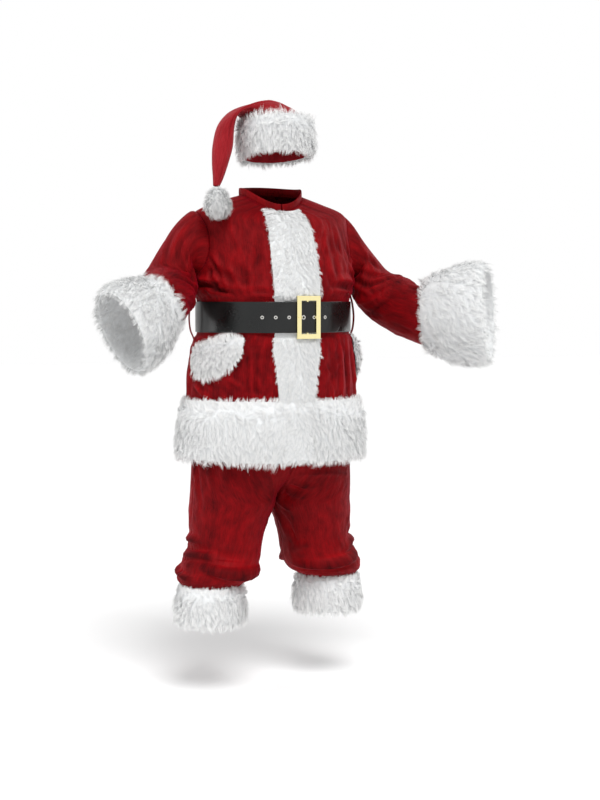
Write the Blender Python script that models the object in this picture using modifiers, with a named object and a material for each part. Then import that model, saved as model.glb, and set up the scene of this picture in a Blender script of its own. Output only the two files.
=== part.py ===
"""Santa suit as worn: belted jacket, trousers and folded-over hat, hollow, with the arms held out.

Heights in the tables are metres above the wearer's soles. The frame has its origin in the middle of
the neck opening, where the jacket hangs from the wearer's shoulders: +Z is up, the front faces -Y,
and the wearer's left is +X.
"""

import math

import bmesh
import bpy
import numpy as np
from mathutils import Matrix, Vector

NECK_HEIGHT = 1.54
CLOTH = 0.002
GAP = 0.0003

# Jacket: one row for each level from hem to neck, with the height at the front, side and back.
# front_z, side_z, back_z, half_width, centre_y, front_depth, back_depth
JACKET = (
    (0.725, 0.733, 0.733, 0.286, -0.010, 0.222, 0.200),
    (0.820, 0.825, 0.825, 0.280, -0.010, 0.216, 0.195),
    (0.915, 0.915, 0.915, 0.277, -0.012, 0.212, 0.190),
    (1.020, 1.020, 1.020, 0.270, -0.018, 0.208, 0.180),
    (1.095, 1.095, 1.095, 0.257, -0.022, 0.203, 0.170),
    (1.120, 1.120, 1.120, 0.246, -0.025, 0.200, 0.165),
    (1.215, 1.215, 1.215, 0.246, -0.025, 0.200, 0.165),
    (1.245, 1.245, 1.245, 0.260, -0.020, 0.211, 0.176),
    (1.295, 1.290, 1.300, 0.264, -0.012, 0.208, 0.182),
    (1.360, 1.360, 1.370, 0.262, -0.005, 0.196, 0.180),
    (1.425, 1.430, 1.445, 0.258, 0.000, 0.174, 0.168),
    (1.465, 1.490, 1.500, 0.245, 0.004, 0.142, 0.138),
    (1.482, 1.522, 1.532, 0.172, 0.004, 0.116, 0.106),
    (1.492, 1.545, 1.552, 0.100, 0.000, 0.098, 0.076),
)
BELT_ROW, UNDERARM_ROW, SHOULDER_ROW, NECK_ROW = 5, 8, 11, 13
LOWER_ROWS = (0, 0.3, 1, 1.7, 2, 3, 3.5, 4, 4.5, 5, 6, 6.5, 7, 7.5, 8)
UPPER_ROWS = (11, 12, 12.6, 13)
ARMHOLE_ANGLE = math.radians(27)
ARMHOLE_MIDDLE, ARMHOLE_HALF = (UNDERARM_ROW + SHOULDER_ROW) / 2, (SHOULDER_ROW - UNDERARM_ROW) / 2
ARMHOLE_STEPS = 8
ARM_STEPS = 2 * ARMHOLE_STEPS
FRONT_COLUMNS, BACK_COLUMNS = 8, 14

# Sleeves, with x outwards on both sides: the rings after the armhole.
# x, y, height, axis_x, axis_y, axis_z, half_up, half_across
LEFT_SLEEVE = (
    (0.2660, 0.0000, 1.380, 1.000, 0.000, 0.000, 0.088, 0.085),
    (0.2885, 0.0000, 1.352, 0.986, 0.000, -0.165, 0.070, 0.088),
    (0.3200, -0.0080, 1.306, 0.540, -0.174, -0.826, 0.062, 0.089),
    (0.3470, -0.0280, 1.256, 0.522, -0.496, -0.696, 0.073, 0.090),
    (0.3800, -0.0650, 1.223, 0.521, -0.744, -0.413, 0.084, 0.090),
    (0.4080, -0.1170, 1.198, 0.450, -0.870, -0.200, 0.088, 0.087),
    (0.4303, -0.1798, 1.174, 0.790, -0.610, 0.040, 0.092, 0.083),
    (0.4540, -0.1981, 1.171, 0.790, -0.610, 0.040, 0.094, 0.080),
)
RIGHT_SLEEVE = (
    (0.2660, 0.0000, 1.391, 1.000, 0.000, 0.000, 0.099, 0.086),
    (0.2955, 0.0000, 1.362, 0.967, 0.000, -0.253, 0.081, 0.089),
    (0.3210, -0.0080, 1.309, 0.540, -0.195, -0.820, 0.063, 0.089),
    (0.3440, -0.0300, 1.265, 0.455, -0.574, -0.683, 0.073, 0.089),
    (0.3650, -0.0650, 1.243, 0.410, -0.780, -0.470, 0.083, 0.089),
    (0.3850, -0.1150, 1.229, 0.400, -0.860, -0.320, 0.084, 0.086),
    (0.4024, -0.1714, 1.2161, 0.820, -0.320, -0.470, 0.082, 0.082),
    (0.4270, -0.1810, 1.2020, 0.820, -0.320, -0.470, 0.080, 0.080),
)
# Fur cuffs: outline from the sleeve end to the mouth and back along the inside; between the two ends
# the rings turn from the sleeve's axis to the mouth's.
# along, half_up, half_across
LEFT_CUFF = (
    (-0.012, 0.0975, 0.0835), (-0.012, 0.112, 0.098), (0.020, 0.136, 0.115), (0.075, 0.160, 0.131),
    (0.145, 0.172, 0.140), (0.190, 0.169, 0.138), (0.208, 0.155, 0.125), (0.195, 0.139, 0.111),
    (0.100, 0.117, 0.098), (0.020, 0.098, 0.085),
)
RIGHT_CUFF = (
    (-0.012, 0.0835, 0.0835), (-0.012, 0.098, 0.098), (0.020, 0.118, 0.114), (0.070, 0.139, 0.131),
    (0.120, 0.149, 0.140), (0.156, 0.147, 0.138), (0.172, 0.133, 0.125), (0.160, 0.118, 0.111),
    (0.090, 0.102, 0.098), (0.020, 0.085, 0.085),
)
LEFT_MOUTH, RIGHT_MOUTH = (0.790, -0.610, 0.040), (0.910, -0.170, -0.380)
CUFF_LENGTH = 0.17

# Fur on the jacket: distance up the jacket in rows, half width, reach out from the cloth.
PLACKET = (
    (0.0, 0.060, 0.026), (1.0, 0.060, 0.030), (2.0, 0.060, 0.030), (3.0, 0.072, 0.030),
    (3.5, 0.080, 0.026), (3.95, 0.078, 0.0075), (5.0, 0.074, 0.0070), (6.0, 0.074, 0.0070),
    (6.85, 0.076, 0.0075), (7.4, 0.078, 0.026), (9.0, 0.078, 0.028), (11.0, 0.070, 0.026),
    (12.6, 0.062, 0.020),
)
PLACKET_EDGE = 0.45
LEAST_COLUMN = 0.01
# row, reach
HEM_FUR = ((0.0, 0.022), (0.3, 0.036), (1.0, 0.040), (1.7, 0.033), (2.0, 0.014))
# The pockets, the left one further round than the right and notched below the belt loop.
# degrees round from the front, top height, bottom height, reach
LEFT_POCKET = (
    (64, 1.104, 1.058, 0.010), (68, 1.108, 1.026, 0.024), (73, 1.100, 1.004, 0.032),
    (78, 1.086, 0.992, 0.036), (84, 1.070, 0.984, 0.037), (90, 1.068, 0.982, 0.037),
    (96, 1.068, 0.984, 0.035), (102, 1.066, 0.994, 0.029), (108, 1.060, 1.016, 0.014),
)
RIGHT_POCKET = (
    (38, 1.108, 1.050, 0.010), (43, 1.114, 1.020, 0.025), (49, 1.114, 1.000, 0.032),
    (56, 1.110, 0.984, 0.036), (63, 1.104, 0.978, 0.037), (70, 1.094, 0.978, 0.037),
    (76, 1.084, 0.984, 0.034), (82, 1.076, 0.998, 0.026), (87, 1.068, 1.018, 0.014),
)
POCKET_LINES = 6
POCKET_EDGE, POCKET_STAND = 0.004, 0.0014
FUR_STAND = 0.0005

NECKBAND_HEIGHT, NECKBAND_THICK, NECKBAND_STEPS = 0.022, 0.003, 24
NECKBAND_START = math.radians(1.0)

# Belt: the strap's outline, then the degrees over which it comes down off the placket's edge, and
# those over which its free end climbs onto itself.
STRAP_WIDTH, STRAP_THICK = 0.094, 0.003
STRAP_HEIGHT = 1.1675
STRAP_CLEARANCE, STRAP_OVER_PLACKET = 0.0013, 0.0078
PLACKET_STEP, LAP_STEP = (21, 38), (325, 350)
BUCKLE_ANGLE = 6.3
STRAP_START, STRAP_END = 7.8, 400.0
STRAP_STATIONS = 66
STRAP_TIP, TIP_POWER, TIP_LEAST = 9.5, 2.4, 0.16
FRAME_WIDTH, FRAME_HEIGHT, FRAME_BAR, FRAME_THICK = 0.080, 0.130, 0.0145, 0.0045
FRAME_BEVEL = 0.0008
CENTRE_BAR, POST_LAP = 0.006, 0.0005
CUT_PAST = 0.01
EYELET_ANGLES = (-26.0, -16.8, -7.6, 2.7, 10.8, 20.0)
EYELET_HOLE, EYELET_RIM, EYELET_THICK = 0.0026, 0.0029, 0.0008
EYELET_STEPS, BORE_STEPS = 16, 12
PRONG_HOLE, PRONG_EYELET = 0.0038, 3
PRONG_RADIUS, PRONG_TIP = 0.0012, 0.004
# Prong, from the strap's hole and then from the side bar's inner edge: x, out.
PRONG_RISE = ((0.0055, -0.0005), (0.0018, 0.0014), (-0.0012, 0.0060))
PRONG_TOP = ((0.0010, 0.0012), (-0.0040, 0.0))

# Belt loop, down one side of the jacket: x, height.
LOOP_PATH = (
    (0.2640, 1.246), (0.2655, 1.232), (0.2720, 1.208), (0.2770, 1.168), (0.2735, 1.130),
    (0.2640, 1.106), (0.2600, 1.092), (0.2605, 1.080),
)
LOOP_WIDTH, LOOP_THICK = 0.014, 0.0018

# Trousers: one row for each level from the leg end to the waist; x is outwards on both sides, the
# stride is back on the left leg and forward on the right, and above the crotch the legs' sections
# pass into the hips' section as joined goes from 0 to 1.
# height, centre_x, stride, half_width, half_depth, joined, hip_half_width, hip_half_depth
TROUSERS = (
    (0.262, 0.2160, 0.042, 0.0870, 0.087, 0.0, 0.255, 0.177),
    (0.333, 0.2160, 0.041, 0.0890, 0.089, 0.0, 0.255, 0.177),
    (0.358, 0.2040, 0.038, 0.1140, 0.115, 0.0, 0.255, 0.177),
    (0.390, 0.1885, 0.034, 0.1225, 0.128, 0.0, 0.255, 0.177),
    (0.425, 0.1730, 0.028, 0.1175, 0.124, 0.0, 0.255, 0.177),
    (0.465, 0.1605, 0.022, 0.1130, 0.121, 0.0, 0.255, 0.177),
    (0.520, 0.1500, 0.014, 0.1180, 0.132, 0.0, 0.255, 0.177),
    (0.562, 0.1380, 0.008, 0.1270, 0.144, 0.0, 0.255, 0.177),
    (0.590, 0.1300, 0.005, 0.1300, 0.152, 0.0, 0.255, 0.177),
    (0.630, 0.1300, 0.002, 0.1300, 0.157, 0.4, 0.257, 0.179),
    (0.680, 0.1300, 0.000, 0.1300, 0.162, 0.8, 0.258, 0.181),
    (0.750, 0.1300, 0.000, 0.1300, 0.162, 1.0, 0.256, 0.182),
    (0.850, 0.1300, 0.000, 0.1300, 0.162, 1.0, 0.246, 0.173),
    (0.950, 0.1300, 0.000, 0.1300, 0.162, 1.0, 0.222, 0.156),
    (1.030, 0.1300, 0.000, 0.1300, 0.162, 1.0, 0.203, 0.142),
)
HIP_CENTRE_Y = -0.012
LEG_COLUMNS = 7
# Fur band at the leg end: radius, height.
LEG_FUR_PROFILE = (
    (0.0905, 0.331), (0.104, 0.331), (0.115, 0.305), (0.119, 0.265), (0.117, 0.225),
    (0.106, 0.200), (0.094, 0.202), (0.0905, 0.240),
)

# Hat crown: rings from the head to the tip, each from its outer to its inner edge across the fold.
# outer_x, outer_height, inner_x, inner_height, half_depth, centre_y, tilt
CROWN = (
    (0.0980, 1.665, -0.0980, 1.665, 0.1120, -0.050, 0.12),
    (0.0985, 1.742, -0.1000, 1.778, 0.1120, -0.050, 0.12),
    (0.0820, 1.778, -0.1100, 1.790, 0.1020, -0.050, 0.09),
    (0.0450, 1.808, -0.1170, 1.792, 0.0900, -0.050, 0.06),
    (-0.0200, 1.829, -0.1240, 1.794, 0.0780, -0.050, 0.03),
    (-0.0850, 1.822, -0.1310, 1.793, 0.0660, -0.048, 0.00),
    (-0.1450, 1.797, -0.1390, 1.780, 0.0560, -0.046, 0.00),
    (-0.1860, 1.755, -0.1430, 1.742, 0.0480, -0.047, 0.00),
    (-0.2070, 1.695, -0.1480, 1.688, 0.0410, -0.055, 0.00),
    (-0.2160, 1.640, -0.1680, 1.634, 0.0320, -0.070, 0.00),
    (-0.2220, 1.594, -0.1920, 1.587, 0.0220, -0.092, 0.00),
    (-0.2290, 1.566, -0.2110, 1.560, 0.0110, -0.110, 0.00),
)
HAT_CENTRE_Y, HAT_TILT = -0.050, 0.12
HAT_BAND_HALF_WIDTH, HAT_BAND_HALF_DEPTH = 0.1005, 0.1125
# Fur band of the hat: distance out from the crown, height.
HAT_FUR_PROFILE = (
    (0.0006, 1.772), (0.012, 1.776), (0.023, 1.760), (0.027, 1.715), (0.024, 1.668),
    (0.012, 1.650), (0.0006, 1.656), (0.0006, 1.710),
)
RING_STEPS = 20
POMPOM_COLUMNS, POMPOM_ROWS = 14, 9
POMPOM_CENTRE, POMPOM_RADIUS = (-0.224, -0.134, 1.506), 0.047

VELVET = ("crushed velvet", (0.235, 0.004, 0.010), 0.75, 0.0)
FUR = ("white pile", (0.80, 0.80, 0.80), 0.95, 0.0)
VINYL = ("black vinyl", (0.012, 0.012, 0.013), 0.28, 0.0)
BRASS = ("polished pale brass", (0.86, 0.74, 0.42), 0.18, 1.0)
STEEL = ("nickelled steel", (0.66, 0.65, 0.64), 0.25, 1.0)


def clear_scene():
    for obj in list(bpy.data.objects):
        bpy.data.objects.remove(obj, do_unlink=True)


def collection(name):
    made = bpy.data.collections.new(name)
    bpy.context.scene.collection.children.link(made)
    return made


def material(finish):
    name, colour, roughness, metallic = finish
    made = bpy.data.materials.get(name)
    if made is None:
        made = bpy.data.materials.new(name)
        made.use_nodes = True
        shader = made.node_tree.nodes["Principled BSDF"]
        shader.inputs["Base Color"].default_value = (*colour, 1.0)
        shader.inputs["Roughness"].default_value = roughness
        shader.inputs["Metallic"].default_value = metallic
        made.diffuse_color = (*colour, 1.0)
    return made


def new_object(name, mesh, finish, group):
    mesh.materials.append(material(finish))
    mesh.shade_smooth()
    mesh.set_sharp_from_angle(angle=math.radians(50))
    obj = bpy.data.objects.new(name, mesh)
    group.objects.link(obj)
    return obj


def between(rows, t):
    """The columns at distance t up a table, on a smooth curve through its rows."""
    first = min(max(int(t), 0), len(rows) - 2)
    part = t - first
    before, low, high, after = (
        np.array(rows[min(max(first + step, 0), len(rows) - 1)]) for step in (-1, 0, 1, 2)
    )
    rise, fall = (high - before) / 2, (after - low) / 2
    bend = 2 * (low - high) + rise + fall
    return low + part * (rise + part * (3 * (high - low) - 2 * rise - fall + part * bend))


def at(rows, place):
    """The other columns of a table, read straight between its rows at this value of the first."""
    table = np.array(rows)
    return [float(np.interp(place, table[:, 0], table[:, i])) for i in range(1, table.shape[1])]


def loft(name, loops, closed, finish, group):
    """A solid through loops of points: a ring of loops when closed, else with both ends filled."""
    count, wide = len(loops), len(loops[0])
    shape = bmesh.new()
    verts = [[shape.verts.new(point) for point in loop] for loop in loops]
    for i in range(count if closed else count - 1):
        for j in range(wide):
            a, b = verts[i], verts[(i + 1) % count]
            shape.faces.new((a[j], a[(j + 1) % wide], b[(j + 1) % wide], b[j]))
    if not closed:
        for end in (verts[0], verts[-1]):
            for j in range(wide // 2 - 1):
                shape.faces.new((end[j], end[j + 1], end[wide - 2 - j], end[wide - 1 - j]))
    bmesh.ops.recalc_face_normals(shape, faces=shape.faces)
    mesh = bpy.data.meshes.new(name)
    shape.to_mesh(mesh)
    shape.free()
    return new_object(name, mesh, finish, group)


def tube(name, rings, outwards, finish, group):
    """A cloth tube through rings of points, open at both ends, its wall inside the rings."""
    shape = bmesh.new()
    verts = [[shape.verts.new(point) for point in ring] for ring in rings]
    wide = len(rings[0])
    for low, high in zip(verts, verts[1:]):
        for j in range(wide):
            corners = (low[j], low[(j + 1) % wide], high[(j + 1) % wide], high[j])
            shape.faces.new(corners if outwards else corners[::-1])
    mesh = bpy.data.meshes.new(name)
    shape.to_mesh(mesh)
    shape.free()
    obj = new_object(name, mesh, finish, group)
    wall = obj.modifiers.new("Solidify", "SOLIDIFY")
    wall.thickness = CLOTH
    wall.offset = -1
    return obj


def moved_out(surface, u, t, out, last_row):
    """The point of a surface at (u, t), moved out along its normal."""
    du, dt = 1e-3, 1e-2
    across = surface(u + du, t) - surface(u - du, t)
    along = surface(u, min(t + dt, last_row)) - surface(u, max(t - dt, 0))
    return surface(u, t) + across.cross(along).normalized() * out


def slab(name, surface, places, low, highs, last_row, finish, group):
    """A sheet on a surface: places holds rows of (u, t), low and highs its faces' distances out."""
    loops = []
    for row, high in zip(places, highs):
        outer = [moved_out(surface, u, t, out, last_row) for (u, t), out in zip(row, high)]
        inner = [moved_out(surface, u, t, low, last_row) for u, t in row]
        loops.append(outer + inner[::-1])
    return loft(name, loops, False, finish, group)


def panel(name, surface, places, wall, last_row, group):
    """A cloth panel whose outer face is the surface; wall is its inner face's distance out."""
    highs = [[0.0] * len(row) for row in places]
    return slab(name, surface, places, wall, highs, last_row, VELVET, group)


def jacket(phi, t):
    """The jacket's outer face: phi goes round from the centre front to the wearer's left."""
    front_z, side_z, back_z, half_width, centre_y, front_depth, back_depth = between(JACKET, t)
    side, ahead = math.sin(phi), math.cos(phi)
    end_z, depth = (front_z, front_depth) if ahead > 0 else (back_z, back_depth)
    height = side_z + (end_z - side_z) * ahead * ahead
    return Vector((half_width * side, centre_y - depth * ahead, height - NECK_HEIGHT))


def armhole_rows():
    turns = [math.pi * k / ARMHOLE_STEPS for k in range(ARMHOLE_STEPS + 1)]
    return [ARMHOLE_MIDDLE - ARMHOLE_HALF * math.cos(turn) for turn in turns]


def armhole_cut(t):
    """The angle that the armhole takes from each panel at this row."""
    share = (t - ARMHOLE_MIDDLE) / ARMHOLE_HALF
    return ARMHOLE_ANGLE * math.sqrt(max(1 - share * share, 0.0))


def panel_rows():
    return [*LOWER_ROWS[:-1], *armhole_rows(), *UPPER_ROWS[1:]]


def front_angles(t):
    """A front panel's columns at this row, from the centre to the side seam or the armhole."""
    seam = GAP / 2 / between(JACKET, t)[6]
    edge = math.pi / 2 - armhole_cut(t) - seam
    return [edge * j / FRONT_COLUMNS for j in range(FRONT_COLUMNS + 1)]


def back_angles(t):
    seam = GAP / 2 / between(JACKET, t)[6]
    edge = math.pi / 2 + armhole_cut(t) + seam
    span = 2 * (math.pi - edge)
    return [edge + span * j / BACK_COLUMNS for j in range(BACK_COLUMNS + 1)]


def jacket_panels(group):
    def face(side):
        def surface(phi, t):
            point = jacket(phi, t)
            point.x = side * max(side * point.x, GAP / 2)
            return point
        return surface

    for label, side in (("left", 1), ("right", -1)):
        places = [[(side * phi, t) for phi in front_angles(t)] for t in panel_rows()]
        panel(f"jacket_front_{label}", face(side), places, -CLOTH, NECK_ROW, group)
    places = [[(phi, t) for phi in back_angles(t)] for t in panel_rows()]
    panel("jacket_back", jacket, places, -CLOTH, NECK_ROW, group)


def armhole_ring(side):
    """The armhole's edge from the shoulder point, forwards and round, stood off by the seam gap."""
    rows = armhole_rows()
    front = [(t, math.pi / 2 - armhole_cut(t)) for t in reversed(rows)]
    back = [(t, math.pi / 2 + armhole_cut(t)) for t in rows[1:-1]]
    ring = [jacket(side * phi, t) for t, phi in front + back]
    return [point + Vector((side * 2 * GAP, 0, 0)) for point in ring]


def oval(centre, axis, side, half_up, half_across):
    """A ring round an arm's axis, from its top, forwards and round."""
    up = Vector((0, 0, 1)) - axis * axis.z
    up.normalize()
    forwards = side * axis.cross(up)
    turns = [2 * math.pi * k / ARM_STEPS for k in range(ARM_STEPS)]
    return [centre + up * half_up * math.cos(a) + forwards * half_across * math.sin(a) for a in turns]


def sleeve(label, side, table, group):
    """A sleeve from the armhole along the arm; returns its end point and axis."""
    rings = [armhole_ring(side)]
    for x, y, height, axis_x, axis_y, axis_z, half_up, half_across in table:
        centre = Vector((side * x, y, height - NECK_HEIGHT))
        axis = Vector((side * axis_x, axis_y, axis_z)).normalized()
        rings.append(oval(centre, axis, side, half_up, half_across))
    tube(f"sleeve_{label}", rings, side > 0, VELVET, group)
    return centre, axis


def sleeve_cuff(label, side, profile, mouth, end, axis, group):
    """A flared fur ring round the sleeve's end, closed on itself through its profile."""
    mouth_axis = Vector((side * mouth[0], mouth[1], mouth[2])).normalized()
    rings = []
    for along, half_up, half_across in profile:
        turned = axis.lerp(mouth_axis, min(max(along / CUFF_LENGTH, 0), 1)).normalized()
        rings.append(oval(end + axis * along, turned, side, half_up, half_across))
    loft(f"cuff_fur_{label}", [list(loop) for loop in zip(*rings)], True, FUR, group)


def placket(group):
    places, reaches = [], []
    last = PLACKET[-1][0]
    for t in [row for row in panel_rows() if row < last] + [last]:
        half_width, reach = at(PLACKET, t)
        edge, column = math.asin(half_width / between(JACKET, t)[3]), front_angles(t)[1]
        half = [0.0, column / 2, column, (column + edge) / 2, edge]
        angles = [-angle for angle in half[:0:-1]] + half
        domes = [math.sqrt(max(1 - (angle / edge) ** 2, 0)) for angle in angles]
        places.append([(angle, t) for angle in angles])
        reaches.append([reach * (PLACKET_EDGE + (1 - PLACKET_EDGE) * dome) for dome in domes])
    slab("placket_fur", jacket, places, FUR_STAND, reaches, NECK_ROW, FUR, group)


def hem_fur(group):
    places, reaches = [], []
    for t, reach in HEM_FUR:
        first = math.asin((at(PLACKET, t)[0] + GAP) / between(JACKET, t)[3])
        front = [first] + [angle for angle in front_angles(t) if angle > first + LEAST_COLUMN]
        far = [2 * math.pi - angle for angle in reversed(front)]
        places.append([(angle, t) for angle in front + back_angles(t)[1:-1] + far])
        reaches.append([reach] * len(places[-1]))
    slab("hem_fur", jacket, places, FUR_STAND, reaches, NECK_ROW, FUR, group)


def pocket_fur(label, side, table, group):
    levels, rows = [row[1] for row in JACKET], range(len(JACKET))
    places, reaches = [], []
    for angle, top, bottom, reach in table:
        shares = [2 * j / POCKET_LINES - 1 for j in range(POCKET_LINES + 1)]
        heights = [bottom + (top - bottom) * (1 + s) / 2 for s in shares]
        phi = side * math.radians(angle)
        places.append([(phi, float(np.interp(height, levels, rows))) for height in heights])
        reaches.append([POCKET_EDGE + (reach - POCKET_EDGE) * math.sqrt(1 - s * s) for s in shares])
    slab(f"pocket_fur_{label}", jacket, places, POCKET_STAND, reaches, NECK_ROW, FUR, group)


def neckband(group):
    loops = []
    for k in range(NECKBAND_STEPS + 1):
        phi = NECKBAND_START + 2 * (math.pi - NECKBAND_START) * k / NECKBAND_STEPS
        foot = jacket(phi, NECK_ROW) + Vector((0, 0, 2 * GAP))
        inwards = Vector((-foot.x, -foot.y, 0)).normalized() * NECKBAND_THICK
        rise = Vector((0, 0, NECKBAND_HEIGHT))
        loops.append([foot, foot + rise, foot + rise + inwards, foot + inwards])
    loft("neckband", loops, False, VELVET, group)


def smooth(low, high, value):
    share = min(max((value - low) / (high - low), 0.0), 1.0)
    return share * share * (3 - 2 * share)


def strap_out(angle):
    """How far the strap's inner face stands off the jacket, with the angle running past 360."""
    near_front = abs((angle + 180) % 360 - 180)
    over_placket = STRAP_OVER_PLACKET * (1 - smooth(*PLACKET_STEP, near_front))
    over_itself = (STRAP_THICK + GAP) * smooth(*LAP_STEP, angle)
    return STRAP_CLEARANCE + over_placket + over_itself


def belt_point(angle, out, rise):
    """A point beside the jacket's waist, out from it and above the strap's middle line."""
    phi, step = math.radians(angle), 1e-3
    run = jacket(phi + step, BELT_ROW) - jacket(phi - step, BELT_ROW)
    point = jacket(phi, BELT_ROW) + run.cross(Vector((0, 0, 1))).normalized() * out
    point.z = STRAP_HEIGHT - NECK_HEIGHT + rise
    return point


def belt_strap(group):
    loops = []
    for k in range(STRAP_STATIONS + 1):
        angle = STRAP_START + (STRAP_END - STRAP_START) * k / STRAP_STATIONS
        past = max((angle - STRAP_END + STRAP_TIP) / STRAP_TIP, 0.0)
        half = STRAP_WIDTH / 2 * math.sqrt(max(1 - past**TIP_POWER, TIP_LEAST))
        low, high = strap_out(angle), strap_out(angle) + STRAP_THICK
        corners = ((low, -half), (low, half), (high, half), (high, -half))
        loops.append([belt_point(angle, out, rise) for out, rise in corners])
    return loft("belt_strap", loops, False, VINYL, group)


def frame_at(angle, above):
    """Axes over the free end of the strap at this angle: x along it, y up, z out from the jacket."""
    def over(turn):
        return belt_point(turn, strap_out(turn + 360) + above, 0)

    here = over(angle)
    along = (over(angle + 0.5) - over(angle - 0.5)).normalized()
    up = Vector((0, 0, 1))
    axes = Matrix((along, up, along.cross(up))).transposed().to_4x4()
    return Matrix.Translation(here) @ axes


def block(name, low, high, matrix, group):
    shape = bmesh.new()
    bmesh.ops.create_cube(shape, size=1.0)
    size = Vector(high) - Vector(low)
    middle = (Vector(high) + Vector(low)) / 2
    placed = Matrix.Translation(middle) @ Matrix.Diagonal(size.to_4d())
    bmesh.ops.transform(shape, matrix=placed, verts=shape.verts)
    mesh = bpy.data.meshes.new(name)
    shape.to_mesh(mesh)
    shape.free()
    obj = new_object(name, mesh, BRASS, group)
    obj.matrix_world = matrix
    return obj


def join_or_cut(obj, other, operation, cutters):
    """A Boolean on obj, whose other shape goes with the cutters."""
    for group in list(other.users_collection):
        group.objects.unlink(other)
    cutters.objects.link(other)
    other.hide_render = True
    other.display_type = "WIRE"
    step = obj.modifiers.new(operation.title(), "BOOLEAN")
    step.operation = operation
    step.object = other


def cylinder(name, radius, low, high, steps, matrix, group):
    shape = bmesh.new()
    bmesh.ops.create_cone(
        shape, cap_ends=True, segments=steps, radius1=radius, radius2=radius, depth=high - low
    )
    bmesh.ops.translate(shape, vec=(0, 0, (low + high) / 2), verts=shape.verts)
    mesh = bpy.data.meshes.new(name)
    shape.to_mesh(mesh)
    shape.free()
    obj = new_object(name, mesh, STEEL, group)
    obj.matrix_world = matrix
    return obj


def buckle(group, cutters):
    """A rectangular frame whose sunk centre bar carries the strap's fixed end and the prong."""
    base = -STRAP_THICK - GAP
    place = frame_at(BUCKLE_ANGLE, base)
    back = 2 * STRAP_THICK + 3 * GAP
    front = back + FRAME_THICK
    half_w, half_h = FRAME_WIDTH / 2, FRAME_HEIGHT / 2
    in_w, in_h = half_w - FRAME_BAR, half_h - FRAME_BAR
    frame = block("buckle_frame", (-half_w, -half_h, back), (half_w, half_h, front), place, group)
    low, high = (-in_w, -in_h, back - CUT_PAST), (in_w, in_h, front + CUT_PAST)
    join_or_cut(frame, block("buckle_window", low, high, place, group), "DIFFERENCE", cutters)
    half_bar, bar_end = CENTRE_BAR / 2, in_h + FRAME_BAR / 3
    low, high = (-half_bar, -bar_end, 0), (half_bar, bar_end, STRAP_THICK)
    join_or_cut(frame, block("buckle_bar", low, high, place, group), "UNION", cutters)
    inner, outer = in_h + POST_LAP, bar_end
    for end, foot, head in (("top", inner, outer), ("bottom", -outer, -inner)):
        low, high = (-half_bar, foot, STRAP_THICK / 2), (half_bar, head, back + FRAME_THICK / 4)
        join_or_cut(frame, block(f"buckle_post_{end}", low, high, place, group), "UNION", cutters)
    edge = frame.modifiers.new("Bevel", "BEVEL")
    edge.width = FRAME_BEVEL
    edge.segments = 1
    edge.limit_method = "ANGLE"

    hole = frame_at(EYELET_ANGLES[PRONG_EYELET], base)
    hole_x = (place.inverted() @ hole).translation.x
    rest = front + PRONG_RADIUS + GAP
    route = [(-half_bar - GAP - PRONG_RADIUS, 0.0)]
    route += [(hole_x + x, out) for x, out in PRONG_RISE]
    route += [(x - in_w, rest + out) for x, out in PRONG_TOP]
    route.append((PRONG_TIP - half_w, rest))
    curve = bpy.data.curves.new("buckle_prong", "CURVE")
    curve.dimensions = "3D"
    curve.bevel_depth = PRONG_RADIUS
    curve.bevel_resolution = 1
    curve.use_fill_caps = True
    spline = curve.splines.new("POLY")
    spline.points.add(len(route) - 1)
    for point, (x, out) in zip(spline.points, route):
        point.co = (x, 0, out, 1)
    curve.materials.append(material(BRASS))
    prong = bpy.data.objects.new("buckle_prong", curve)
    prong.matrix_world = place
    group.objects.link(prong)


def eyelets(strap, group, cutters):
    """Rings on the free end of the strap; the prong's is wider, and the strap is punched there."""
    for index, angle in enumerate(EYELET_ANGLES):
        place = frame_at(angle, STRAP_THICK + GAP)
        hole = PRONG_HOLE if index == PRONG_EYELET else EYELET_HOLE
        name = f"eyelet_{index + 1}"
        rim = cylinder(name, hole + EYELET_RIM, 0, EYELET_THICK, EYELET_STEPS, place, group)
        bore = cylinder(f"{name}_bore", hole, -CUT_PAST, CUT_PAST, BORE_STEPS, place, cutters)
        join_or_cut(rim, bore, "DIFFERENCE", cutters)
    place = frame_at(EYELET_ANGLES[PRONG_EYELET], STRAP_THICK + GAP)
    depth = 1.5 * STRAP_THICK
    punch = cylinder("prong_hole", PRONG_HOLE, -depth, depth, BORE_STEPS, place, cutters)
    join_or_cut(strap, punch, "DIFFERENCE", cutters)


def belt_loop(label, side, group):
    """A slack strip of the jacket's cloth, standing off its side seam round the strap."""
    centre_y, half = between(JACKET, BELT_ROW)[4], LOOP_WIDTH / 2
    loops = []
    for i, (x, height) in enumerate(LOOP_PATH):
        ahead = LOOP_PATH[min(i + 1, len(LOOP_PATH) - 1)]
        behind = LOOP_PATH[max(i - 1, 0)]
        run = Vector((ahead[0] - behind[0], ahead[1] - behind[1])).normalized() * LOOP_THICK
        inner, outer = (x, height), (x - run.y, height + run.x)
        corners = ((inner, -half), (outer, -half), (outer, half), (inner, half))
        loops.append([Vector((side * cx, centre_y + y, cz - NECK_HEIGHT)) for (cx, cz), y in corners])
    loft(f"belt_loop_{label}", loops, False, VELVET, group)


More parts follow.
